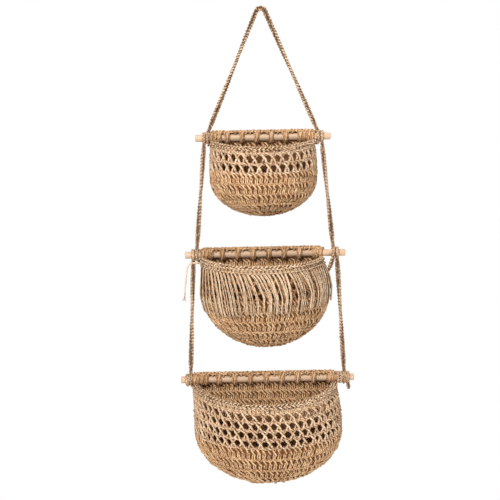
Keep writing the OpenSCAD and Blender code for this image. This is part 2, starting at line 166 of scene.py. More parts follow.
def sweep(route: Array, radius: Array | float, sides: int) -> Tubes:
    """Rings round routes: point + radius * (cos * u + sin * v) at equal angles.

    A ring's point is as light as its route says where it looks the way that the stitch faces, and falls smoothly to
    about a fifth of that where it looks aside, as painted shade on the sides of each strand.

    Args:
        route: (S, N, 3) points, or (S, N, 7) with the lightness and the facing direction after them.
        radius: one radius, or radii that broadcast to (S, N).
        sides: points in a ring.
    """
    given = route
    route = route[..., :3]
    u, v = frames(route)
    turn = np.arange(sides) * 2 * np.pi / sides
    r = np.broadcast_to(np.asarray(radius, float), route.shape[:2])[..., None, None]
    ring = np.cos(turn)[:, None] * u[..., None, :] + np.sin(turn)[:, None] * v[..., None, :]
    light = np.ones(ring.shape[:-1])
    if given.shape[-1] == 7:
        # Painted shade: points that look aside from the stitch's facing are darker.
        towards = np.clip(((ring * unit(given[..., None, 4:])).sum(-1) - 0.3) / 0.6, 0, 1)
        light = np.clip(given[..., 3:4], 0, 1) * (0.22 + 0.78 * towards**2 * (3 - 2 * towards))
    step = np.linalg.norm(np.diff(route, axis=1), axis=-1)
    arc = np.concatenate([np.zeros((len(route), 1)), np.cumsum(step, axis=1)], axis=1)
    return Tubes(route[..., None, :] + r * ring, arc, light, float(2 * np.pi * r.max()))


def with_painted_shade_and_highlight(points: Array, out: Array | float, facing: Array) -> Array:
    """Points with a lightness for painted shade and highlights after them, 0 for yarn 1.4 mm inside the stitch and 1
    for 2.2 mm out, and the facing.
    """
    light = np.broadcast_to((np.asarray(out) + 1.4) / 3.6, points.shape[:-1])
    return np.concatenate([points, light[..., None], np.broadcast_to(facing, points.shape)], axis=-1)


@dataclass
class Yarnwork:
    """One piece made of tubes of yarn, closed at both ends.

    Its map "Yarn" holds the length along the yarn in centimetres and the share of a turn round it. Its map "OFBake"
    lays the tubes out as short strips in the cells of a grid, so that no two faces share a place.
    """

    name: str
    finish: "YarnFinish"
    sides: int = 6
    part: int = 24
    tubes: list[Tubes] = field(default_factory=list)

    def add(self, route: Array, radius: Array | float = YARN_R) -> None:
        """Adds tubes along routes of shape (S, N, 3) or (N, 3), in millimetres, with uneven girth and lightness."""
        route = route if route.ndim == 3 else route[None]
        s, n = route.shape[:2]
        rng = np.random.default_rng(len(self.tubes) + 31 * s + n)
        made = sweep(route, radius * np.clip(rng.normal(1, 0.06, (s, n)), 0.85, 1.15), self.sides)
        made.light *= np.clip(rng.normal(0.92, 0.12, (s, 1, 1)) + rng.normal(0, 0.19, (s, n, 1)), 0.25, 1.2)
        self.tubes.append(made)

    def _strip_cells(self) -> tuple[int, int, float, float]:
        """Columns and rows of the grid of strips, and the longest strip and widest girth in it."""
        longest, girth, count = 1e-6, 1e-6, 0
        for t in self.tubes:
            starts = t.arc[:, :: self.part]
            ends = np.concatenate([starts[:, 1:], t.arc[:, -1:]], axis=1)
            longest = max(longest, float((ends - starts).max()))
            girth = max(girth, t.girth)
            count += len(t.arc) * math.ceil((t.arc.shape[1] - 1) / self.part)
        columns = max(1, round(math.sqrt(count * girth / longest)))
        return columns, math.ceil(count / columns), longest, girth

    def build(self, body: str, slot: Slot, replaces: tuple[str, ...] = ()) -> bpy.types.Object:
        """Writes the tubes to one mesh object that rides on a body.

        Faces run ring by ring: each quad joins neighbouring points of neighbouring rings, and each end is a polygon.

        Args:
            body: name of the CAD body that it rides on.
            slot: the record's slot; not used.
            replaces: CAD nodes that it stands for.
        """
        columns, rows, longest, girth = self._strip_cells()
        verts, loops, starts, yarn_uv, bake_uv, light = [], [], [], [], [], []
        base = cell0 = corner0 = 0
        n = self.sides
        for t in self.tubes:
            s, m = t.arc.shape
            index = base + np.arange(s * m * n).reshape(s, m, n)
            nxt = np.roll(index, -1, axis=2)
            quads = np.stack([index[:, :-1], nxt[:, :-1], nxt[:, 1:], index[:, 1:]], axis=-1)
            ring = np.arange(m - 1)
            parts = math.ceil((m - 1) / self.part)
            cell = cell0 + np.arange(s)[:, None] * parts + ring // self.part
            begin = t.arc[:, (ring // self.part) * self.part]
            a0, a1 = t.arc[:, :-1], t.arc[:, 1:]
            k = np.arange(n)
            ones = np.ones((s, m - 1, n))
            along = np.stack([a0[..., None] * ones, a0[..., None] * ones, a1[..., None] * ones, a1[..., None] * ones], -1)
            round_ = np.stack([k / n * ones, (k + 1) / n * ones, (k + 1) / n * ones, k / n * ones], -1)
            yarn_uv.append(np.stack([along / 10, round_], -1).reshape(-1, 2))
            share = (along - begin[..., None, None]) / longest
            x = (cell % columns)[..., None, None] + 0.02 + 0.88 * share
            y = (cell // columns)[..., None, None] + 0.06 + 0.86 * round_ * t.girth / girth
            bake_uv.append(np.stack([x / columns, y / rows], -1).reshape(-1, 2))
            loops.append(quads.reshape(-1))
            count = s * (m - 1) * n
            starts.append(corner0 + 4 * np.arange(count))
            corner0 += 4 * count
            turn = k * 2 * np.pi / n
            for which, order, at in ((0, k[::-1], 0.935), (m - 1, k, 0.97)):
                loops.append(index[:, which][:, order].reshape(-1))
                starts.append(corner0 + n * np.arange(s))
                corner0 += n * s
                own = cell[:, 0 if which == 0 else -1]
                cx = (own % columns)[:, None] + at + 0.012 * np.cos(turn[order])
                cy = (own // columns)[:, None] + 0.5 + 0.3 * np.sin(turn[order])
                bake_uv.append(np.stack([cx / columns, cy / rows], -1).reshape(-1, 2))
                end = t.arc[:, which][:, None] / 10 + 0.0 * turn[order]
                yarn_uv.append(np.stack([end, np.broadcast_to(order / n, end.shape)], -1).reshape(-1, 2))
            verts.append(t.rings.reshape(-1, 3))
            light.append(t.light.ravel())
            base += s * m * n
            cell0 += s * parts
        mesh = bpy.data.meshes.new(self.name)
        co, vi, ls = np.concatenate(verts) * MM, np.concatenate(loops), np.concatenate(starts)
        mesh.vertices.add(len(co))
        mesh.vertices.foreach_set("co", co.astype(np.float32).ravel())
        mesh.loops.add(len(vi))
        mesh.loops.foreach_set("vertex_index", vi.astype(np.int32))
        mesh.polygons.add(len(ls))
        mesh.polygons.foreach_set("loop_start", ls.astype(np.int32))
        mesh.polygons.foreach_set("use_smooth", np.ones(len(ls), bool))
        mesh.update(calc_edges=True)
        for name, uv in (("Yarn", yarn_uv), ("OFBake", bake_uv)):
            layer = mesh.uv_layers.new(name=name)
            layer.data.foreach_set("uv", np.concatenate(uv).astype(np.float32).ravel())
        # The light attribute carries painted shade and painted highlights for the material.
        mesh.attributes.new("light", "FLOAT", "POINT").data.foreach_set("value", np.concatenate(light).astype(np.float32))
        mesh.validate()
        mesh.materials.append(self.finish.material())
        piece = bpy.data.objects.new(self.name, mesh)
        bpy.context.scene.collection.objects.link(piece)
        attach(piece, body)
        if replaces:
            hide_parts(*replaces)
        log.info("%s: %d faces on %s", self.name, len(ls), body)
        return piece


# Finishes


class Nodes:
    """A node tree that is written one node at a time."""

    def __init__(self, tree: bpy.types.NodeTree) -> None:
        """Keeps the tree and clears it."""
        self.tree = tree
        tree.nodes.clear()

    def add(self, kind: str, inputs: dict | None = None, **settings: object) -> bpy.types.Node:
        """Adds a node, sets its properties, and links or sets its inputs.

        Args:
            kind: Blender's name of the node.
            inputs: socket name or number to a value or to another node's socket.
            settings: properties of the node.
        """
        node = self.tree.nodes.new(kind)
        for name, value in settings.items():
            setattr(node, name, value)
        for key, value in (inputs or {}).items():
            if isinstance(value, bpy.types.NodeSocket):
                self.tree.links.new(value, node.inputs[key])
            else:
                node.inputs[key].default_value = value
        return node

    def math(self, operation: str, *values: object) -> bpy.types.NodeSocket:
        """Output of a Math node."""
        return self.add("ShaderNodeMath", dict(enumerate(values)), operation=operation).outputs[0]

    def mix(self, share: object, a: object, b: object, how: str = "MIX") -> bpy.types.NodeSocket:
        """Colour output of a Mix node."""
        node = self.add("ShaderNodeMix", {0: share, 6: a, 7: b}, data_type="RGBA", blend_type=how)
        return node.outputs[2]


def yarn_twist() -> bpy.types.NodeTree:
    """Group for plied yarn: the plies' height, the groove between them and the streaks of their fibres.

    The turn round the yarn plus its length over the twist's pitch is a helix. The plies' height is the sine of the
    fraction of a ply passed on it, and the fibres are noise on a circle that turns with the helix.
    """
    found = bpy.data.node_groups.get("YarnTwist")
    if found:
        return found
    tree = bpy.data.node_groups.new("YarnTwist", "ShaderNodeTree")
    n = Nodes(tree)
    for name, kind, default in (
        ("Yarn", "NodeSocketVector", None),
        ("Plies", "NodeSocketFloat", 3.0),
        ("Pitch", "NodeSocketFloat", 0.9),
        ("Fibre", "NodeSocketFloat", 9.0),
    ):
        socket = tree.interface.new_socket(name=name, in_out="INPUT", socket_type=kind)
        if default is not None:
            socket.default_value = default
    for name in ("Height", "Groove", "Streak"):
        tree.interface.new_socket(name=name, in_out="OUTPUT", socket_type="NodeSocketFloat")
    given = n.add("NodeGroupInput")
    split = n.add("ShaderNodeSeparateXYZ", {0: given.outputs["Yarn"]})
    along, turn = split.outputs[0], split.outputs[1]
    helix = n.math("ADD", turn, n.math("DIVIDE", along, given.outputs["Pitch"]))
    ply = n.math("FRACT", n.math("MULTIPLY", helix, given.outputs["Plies"]))
    height = n.math("SINE", n.math("MULTIPLY", ply, math.pi))
    groove = n.math("POWER", n.math("SUBTRACT", 1.0, height), 2.0)
    angle = n.math("MULTIPLY", helix, 2 * math.pi)
    on_circle = n.add(
        "ShaderNodeCombineXYZ",
        {0: n.math("COSINE", angle), 1: n.math("SINE", angle), 2: n.math("MULTIPLY", along, 0.35)},
    )
    noise = n.add(
        "ShaderNodeTexNoise",
        {"Vector": on_circle.outputs[0], "Scale": given.outputs["Fibre"], "Detail": 2.0, "Roughness": 0.6},
    )
    out = n.add("NodeGroupOutput")
    tree.links.new(height, out.inputs["Height"])
    tree.links.new(groove, out.inputs["Groove"])
    tree.links.new(noise.outputs[0], out.inputs["Streak"])
    return tree


@dataclass(frozen=True)
class YarnFinish:
    """Jute yarn: its dark colour for painted shade, darker fibres and patches, its base colour, its light colour for
    pale fibres and painted highlights, and its twist.
    """

    name: str
    dark: tuple[float, float, float]
    base: tuple[float, float, float]
    light: tuple[float, float, float]
    plies: float = 3.0
    pitch: float = 1.0
    rough: float = 0.82
    relief: float = 0.35
    speckle: float = 0.55

    @property
    def deep(self) -> tuple[float, ...]:
        """Painted shade colour of the yarn where it lies deep in a stitch: the dark colour, darker and redder."""
        return tuple(c * k for c, k in zip(self.dark, (0.42, 0.30, 0.17)))

    def material(self) -> bpy.types.Material:
        """Material of this yarn, made once.

        Streaks mix base with light, a slow cloud on Object coordinates warms or pales whole stitches, and the
        grooves between plies go dark as painted shade. The light attribute paints a highlight on strand crests and
        painted shade where yarn lies deep in a stitch or looks aside. The same height and streaks feed the bump.
        """
        found = bpy.data.materials.get(self.name)
        if found:
            return found
        made = bpy.data.materials.new(self.name)
        made.use_nodes = True
        n = Nodes(made.node_tree)
        uv = n.add("ShaderNodeUVMap", uv_map="Yarn")
        twist = n.add("ShaderNodeGroup", node_tree=yarn_twist())
        n.tree.links.new(uv.outputs[0], twist.inputs["Yarn"])
        twist.inputs["Plies"].default_value = self.plies
        twist.inputs["Pitch"].default_value = self.pitch
        where = n.add("ShaderNodeTexCoord").outputs["Object"]
        cloud = n.add("ShaderNodeTexNoise", {"Vector": where, "Scale": 55.0, "Detail": 3.0}).outputs[0]
        speck = n.add("ShaderNodeTexNoise", {"Vector": where, "Scale": 330.0, "Detail": 3.0, "Roughness": 0.7}).outputs[0]
        broad = n.add("ShaderNodeTexNoise", {"Vector": where, "Scale": 14.0, "Detail": 1.0}).outputs[0]
        streak = n.add("ShaderNodeMapRange", {0: twist.outputs["Streak"], 1: 0.3, 2: 0.72}).outputs[0]
        fibres = n.mix(streak, (*self.base, 1), (*self.light, 1))
        patch = n.add("ShaderNodeMapRange", {0: cloud, 1: 0.35, 2: 0.7, 3: 0.0, 4: 0.45}).outputs[0]
        patched = n.mix(patch, fibres, (*self.base, 1))
        wide = n.add("ShaderNodeMapRange", {0: broad, 1: 0.35, 2: 0.7, 3: 0.0, 4: 0.3}).outputs[0]
        warmed = n.mix(wide, patched, (*self.dark, 1))
        worn = n.add("ShaderNodeMapRange", {0: speck, 1: 0.5, 2: 0.68, 3: 0.0, 4: self.speckle}).outputs[0]
        pale = n.add("ShaderNodeMapRange", {0: speck, 1: 0.34, 2: 0.48, 3: self.speckle, 4: 0.0}).outputs[0]
        specked = n.mix(pale, n.mix(worn, warmed, (*self.dark, 1)), (*self.light, 1))
        # Painted shade in the grooves between plies.
        groove = n.math("MULTIPLY", twist.outputs["Groove"], 0.75)
        groove_painted_shade = n.mix(groove, specked, (*self.dark, 1))
        # Painted highlight on crests where the light attribute is high, painted shade where it is low.
        light = n.add("ShaderNodeAttribute", attribute_name="light").outputs["Fac"]
        painted_highlight_share = n.add("ShaderNodeMapRange", {0: light, 1: 0.75, 2: 1.0, 3: 0.0, 4: 0.5}).outputs[0]
        with_painted_highlight = n.mix(painted_highlight_share, groove_painted_shade, (*self.light, 1))
        depth = n.add("ShaderNodeMapRange", {0: light, 2: 0.62, 3: 0.95, 4: 0.0}).outputs[0]
        colour = n.mix(depth, with_painted_highlight, (*self.deep, 1))
        height = n.math("ADD", twist.outputs["Height"], n.math("MULTIPLY", twist.outputs["Streak"], 0.35))
        bump = n.add("ShaderNodeBump", {"Height": height, "Strength": 0.8, "Distance": self.relief * MM})
        shader = n.add(
            "ShaderNodeBsdfPrincipled",
            {
                "Base Color": colour,
                "Roughness": self.rough,
                "Specular IOR Level": 0.08,
                "Sheen Weight": 0.04,
                "Sheen Roughness": 0.5,
                "Sheen Tint": (*self.light, 1),
                "Normal": bump.outputs[0],
            },
        )
        out = n.add("ShaderNodeOutputMaterial")
        n.tree.links.new(shader.outputs[0], out.inputs[0])
        return made


JUTE = YarnFinish("bowl_jute", (0.21, 0.078, 0.021), (0.86, 0.45, 0.21), (1.0, 0.75, 0.465))
# Painted shade: a dark copy of the jute for the yarn deep between the stitches.
PAINTED_SHADE_JUTE = YarnFinish("inner_jute_painted_shade", (0.06, 0.02, 0.005), (0.22, 0.088, 0.028), (0.34, 0.15, 0.055))
# A paler copy of the bowl's jute: painted light on the openwork.
OPEN_JUTE = YarnFinish("openwork_jute", (0.20, 0.075, 0.022), (0.88, 0.51, 0.27), (1.0, 0.81, 0.58))
# A paler copy again: painted light on the rims and the fringe's cross loops.
EDGE_JUTE = YarnFinish("rim_jute", (0.20, 0.078, 0.024), (0.90, 0.54, 0.29), (1.0, 0.83, 0.60))
# Painted shade: a darker copy of the openwork's jute for the middle basket, under the fringe.
PAINTED_SHADE_OPEN_JUTE = YarnFinish("openwork_jute_painted_shade", (0.12, 0.045, 0.013), (0.46, 0.225, 0.10), (0.66, 0.39, 0.20))
FRINGE = YarnFinish("fringe_strand", (0.17, 0.068, 0.022), (0.76, 0.49, 0.28), (1.0, 0.81, 0.59), plies=2.0, pitch=0.8)
CORD = YarnFinish("braided_cord", (0.14, 0.058, 0.021), (0.72, 0.44, 0.25), (1.0, 0.75, 0.51))


@dataclass(frozen=True)
class WoodFinish:
    """Pale sanded wood with its grain along x."""

    name: str = "pale_wood"
    dark: tuple[float, float, float] = (0.40, 0.22, 0.12)
    base: tuple[float, float, float] = (0.63, 0.405, 0.25)
    light: tuple[float, float, float] = (0.71, 0.50, 0.34)

    def material(self) -> bpy.types.Material:
        """Growth rings are a wave across the grain bent by noise, and pores are noise drawn out along it."""
        found = bpy.data.materials.get(self.name)
        if found:
            return found
        made = bpy.data.materials.new(self.name)
        made.use_nodes = True
        n = Nodes(made.node_tree)
        where = n.add("ShaderNodeTexCoord").outputs["Object"]
        long = n.add("ShaderNodeMapping", {"Vector": where, "Scale": (0.06, 1.0, 1.0)}).outputs[0]
        bent = n.add("ShaderNodeTexNoise", {"Vector": long, "Scale": 90.0, "Detail": 2.0})
        rings = n.add(
            "ShaderNodeTexWave",
            {"Vector": long, "Scale": 120.0, "Distortion": 6.0, "Detail": 2.0, "Detail Scale": 1.2},
            wave_type="RINGS",
            rings_direction="X",
        ).outputs[1]
        fine = n.add("ShaderNodeMapping", {"Vector": where, "Scale": (0.02, 1.0, 1.0)}).outputs[0]
        pores = n.add("ShaderNodeTexNoise", {"Vector": fine, "Scale": 2600.0, "Detail": 3.0}).outputs[0]
        tone = n.mix(n.add("ShaderNodeMapRange", {0: rings, 3: 0.0, 4: 0.55}).outputs[0], (*self.light, 1), (*self.base, 1))
        cloud = n.add("ShaderNodeMapRange", {0: bent.outputs[0], 1: 0.35, 2: 0.7, 3: 0.0, 4: 0.45}).outputs[0]
        clouded = n.mix(cloud, tone, (*self.base, 1))
        dots = n.add("ShaderNodeMapRange", {0: pores, 1: 0.56, 2: 0.72, 3: 0.0, 4: 0.5}).outputs[0]
        colour = n.mix(dots, clouded, (*self.dark, 1))
        bump = n.add("ShaderNodeBump", {"Height": pores, "Strength": 0.25, "Distance": 0.1 * MM})
        shader = n.add(
            "ShaderNodeBsdfPrincipled",
            {
                "Base Color": colour,
                "Roughness": n.add("ShaderNodeMapRange", {0: pores, 3: 0.42, 4: 0.58}).outputs[0],
                "Specular IOR Level": 0.35,
                "Normal": bump.outputs[0],
            },
        )
        out = n.add("ShaderNodeOutputMaterial")
        n.tree.links.new(shader.outputs[0], out.inputs[0])
        return made


# Crochet stitches

# The strands of one tall stitch: mm across, share of the row's height (0 at the row below), mm out.
STROKE = np.array(
    [
        [-3.9, 1.06, -1.5],
        [-3.8, 0.97, 1.4],
        [-2.3, 0.88, 2.9],
        [0.1, 0.74, 3.4],
        [2.2, 0.60, 2.9],
        [3.2, 0.48, 1.3],
        [2.9, 0.40, -1.0],
        [1.4, 0.30, -1.8],
    ]
)
CROSS = np.array([[3.5, 1.0, -0.6], [1.9, 0.87, 0.4], [-0.4, 0.73, -0.5], [-2.5, 0.60, -0.7], [-3.5, 0.44, -1.2]])
NEAR_LEG = np.array([[2.8, 0.50, -1.2], [1.9, 0.42, 1.0], [1.4, 0.26, 2.1], [1.9, 0.08, 1.7], [2.4, -0.06, -0.6]])
FAR_LEG = np.array([[-0.9, 0.62, -1.4], [-1.6, 0.50, 0.6], [-2.5, 0.32, 2.0], [-2.3, 0.12, 1.7], [-1.8, -0.06, -0.6]])
HIND = np.array([[-3.2, 1.02, -1.7], [0.4, 0.78, -2.6], [3.2, 0.52, -2.4], [0.2, 0.26, -2.8], [-3.0, 0.0, -2.0]])
STRANDS = ((STROKE, 1.95), (CROSS, 1.65), (NEAR_LEG, 1.7), (FAR_LEG, 1.7), (HIND, 1.65))

# The same for the openwork, where a stitch spreads at its head and foot.
OPEN_STROKE = np.array(
    [
        [-5.9, 1.06, -1.5],
        [-5.4, 0.95, 1.2],
        [-3.2, 0.81, 2.6],
        [-0.2, 0.62, 3.1],
        [2.2, 0.44, 2.6],
        [3.3, 0.27, 1.8],
        [4.9, 0.09, 1.1],
        [5.6, -0.06, -1.2],
    ]
)
OPEN_LEG = np.array(
    [
        [5.7, 1.05, -1.3],
        [4.6, 0.92, 0.8],
        [2.0, 0.75, 0.2],
        [-0.8, 0.56, 0.7],
        [-2.2, 0.38, 1.8],
        [-3.4, 0.21, 1.8],
        [-4.8, 0.05, 1.0],
        [-5.5, -0.06, -1.0],
    ]
)
OPEN_HIND = np.array(
    [
        [0.2, 1.04, -1.2],
        [1.8, 0.80, -1.0],
        [1.6, 0.50, -2.2],
        [-0.6, 0.25, -0.6],
        [-0.4, -0.05, -1.4],
    ]
)
OPEN_STRANDS = ((OPEN_STROKE, 2.1), (OPEN_LEG, 1.95), (OPEN_HIND, 1.7))

# The head of a stitch where rows meet in the openwork: mm across, mm up, mm out.
HEAD = np.array([[-5.6, 2.4, -1.8], [-3.6, 2.0, 0.9], [0.0, 0.3, 2.2], [3.6, -1.7, 1.1], [5.6, -2.4, -1.6]])


def plait(turns: int, wide: float, deep: float, rng: np.random.Generator, rough: float = 0.25) -> Array:
    """Knots of three strands that cross each other in turn, six to a turn.

    Across goes as the sine of the strand's phase and out as the sine of twice that phase, and the three phases are a
    third of a turn apart.

    Args:
        turns: whole turns of the plait.
        wide: mm from the middle to the furthest point of a strand across.
        deep: mm from the middle to a strand's highest point.
        rng: source of the unevenness.
        rough: mm of unevenness.

    Returns:
        (3, 6 * turns + 1, 3) of the share of the length, mm across and mm out.
    """
    at = np.linspace(0, turns, 6 * turns + 1)[None]
    phase = 2 * np.pi * (at + np.arange(3)[:, None] / 3)
    knots = np.stack([at / turns + 0 * phase, wide * np.sin(phase), deep * np.sin(2 * phase)], -1)
    return knots + rng.normal(0, rough, knots.shape) * np.array([0.0, 1.0, 1.0])


@dataclass(frozen=True)
class Tier:
    """One basket's size and shape, in the frame of its dowel's axis.

    A point of the pocket has an angle a round the mouth (180 at the left, 0 at the right) and a share q of the way
    down the fabric. At a depth s below the dowel the plan is half an oval: its width shrinks with the cosine of the
    round bottom, and its depth with the cosine of an oval from the mouth to the bottom. The mouth hangs lower in the
    middle of the front by its sag.
    """

    name: str
    axis_z: float
    half: float
    neck: float
    lean: float
    shoulder: float
    bowl: float
    depth: float
    sag: float
    holes: int
    mesh_rows: int
    collar: float
    mesh_h: float
    solid_rows: int
    loops: int
    loop_pitch: float
    loop_shift: float
    dowel_l: float
    ridge_row: int
    seen: float
    ends: tuple[tuple[float, ...], tuple[float, ...]]
    seed: int

    @property
    def thick(self) -> float:
        """Multiplies the radius of the openwork's strands: the top basket's holes are the smallest."""
        return 1.2 if self.mesh_rows == 2 else 1.05

    @property
    def columns(self) -> int:
        """Cells of openwork round the mouth."""
        return 2 * self.holes + 1

    @property
    def bottom(self) -> float:
        """Depth of the lowest point."""
        return self.shoulder + self.bowl

    @property
    def mouth(self) -> float:
        """Depth of the middle of the mouth."""
        return POCKET_TOP + self.sag

    @property
    def front_l(self) -> float:
        """Length of the fabric down the front: a quarter of an oval."""
        return math.pi / 2 * math.sqrt(((self.bottom - self.mouth) ** 2 + self.depth**2) / 2)

    def rise(self, s: Array) -> Array:
        """1 at the dowel, falling to 0 at the shoulder."""
        return np.maximum(0, 1 - (s - PANEL_TOP) / (self.shoulder - PANEL_TOP))

    def roundness(self, s: Array) -> Array:
        """Cosine of the round bottom at the depth s."""
        return np.sqrt(np.maximum(0, 1 - (np.maximum(0, s - self.shoulder) / self.bowl) ** 2))

    def half_at(self, s: Array) -> Array:
        """Half of the width at the depth s."""
        return (self.half - (self.half - self.neck) * self.rise(s) ** 2) * self.roundness(s)

    def middle_at(self, s: Array) -> Array:
        """Middle of the width at the depth s."""
        return self.lean * self.rise(s) ** 2

    def fabric(self, a: Array, q: Array) -> Array:
        """Outer face of the pocket at angles a and shares q.

        The depth below the dowel goes from the mouth to the bottom by the sine of an angle that grows with the share.
        """
        sin_a = np.sin(np.radians(a))
        mouth = POCKET_TOP + self.sag * np.abs(sin_a) ** 1.5
        s = mouth + (self.bottom - mouth) * np.sin(np.pi / 2 * q * (1 - ROW_EASE * (1 - q)))
        front = np.sqrt(np.maximum(0, 1 - (np.maximum(0, s - self.mouth) / (self.bottom - self.mouth)) ** 2))
        x = self.middle_at(s) + self.half_at(s) * np.cos(np.radians(a))
        return np.stack([x, PANEL_Y - self.depth * front * sin_a, -s], axis=-1)

    def outward(self, a: Array, q: Array) -> Array:
        """Normal of the outer face: the cross product of its slopes with a and with q."""
        q0 = np.clip(q, 0.004, 0.98)
        across = self.fabric(a + 0.5, q0) - self.fabric(a - 0.5, q0)
        down = self.fabric(a, q0 + 0.004) - self.fabric(a, q0 - 0.004)
        return unit(np.cross(across, down))

    def place(self, a: Array, q: Array, out: Array, lift: Array | float = 0.0) -> Array:
        """Points that stand off the outer face, in the part's frame.

        Args:
            a: angles round the mouth.
            q: shares of the way down.
            out: mm along the outward normal.
            lift: mm up.
        """
        p = self.fabric(a, q) + np.asarray(out)[..., None] * self.outward(a, q)
        p[..., 2] += self.axis_z + lift
        return p

    def laid(self, a: Array, q: Array, set_: float, out: Array, lift: Array | float = 0.0) -> Array:
        """Points with painted shade that stand off the outer face by a set and by their mm out."""
        return with_painted_shade_and_highlight(self.place(a, q, out + set_, lift), out, self.outward(a, q))

    def rate(self, a: Array, q: Array) -> Array:
        """Millimetres that the fabric runs round for each degree."""
        return np.linalg.norm(self.fabric(a + 0.5, q) - self.fabric(a - 0.5, q), axis=-1)

    def round_length(self, q: float) -> float:
        """Length of the fabric round the basket at a share q of the way down."""
        a = np.linspace(0, 180, 91)
        return float(np.linalg.norm(np.diff(self.fabric(a, np.full(91, q)), axis=0), axis=1).sum())

    def flat(self, share: Array, s: Array, out: Array) -> Array:
        """Points of the flat back, in the part's frame.

        Args:
            share: -1 at the left edge to 1 at the right one.
            s: depths below the dowel.
            out: mm towards the viewer from the middle of the back's thickness.
        """
        x = self.middle_at(s) + share * self.half_at(s)
        return np.stack([x, PANEL_MID - out, self.axis_z - s], axis=-1)

    @property
    def mesh_shares(self) -> list[float]:
        """Shares of the way down of the chains above and below each openwork row."""
        return [(self.collar + k * self.mesh_h) / self.front_l for k in range(self.mesh_rows + 1)]

    @property
    def solid_shares(self) -> list[float]:
        """Shares of the way down of the ridges of the solid rows, which grow a little towards the bottom."""
        top = self.mesh_shares[-1]
        step = np.linspace(0, 1, self.solid_rows + 1)
        return (top + (0.975 - top) * (0.9 * step + 0.1 * step**2)).tolist()


TOP = Tier(
    "top", -255, 105, 102, -1, 79, 75, 90, 25, 18, 2, 6.0, 19.5, 5, 6, 29.0, 2.0, 270, 2, 22,
    ((-101, -94, -87), (83, 91, 98)), 11,
)
MIDDLE = Tier(
    "middle", -488, 127, 118, -8, 70, 114, 108, 18, 22, 3, 7.2, 17.6, 6, 7, 30.7, 7.0, 320, 2, 34,
    ((-124, -116, -108), (103, 109)), 23,
)
BOTTOM = Tier(
    "bottom", -737, 145, 140, -7, 101, 106, 112, 28, 25, 4, 8.4, 17.3, 5, 8, 31.4, 13.0, 345, 1, 70,
    ((-145, -138, -130, -122), (129,)), 37,
)

FABRIC_SET = -2.6


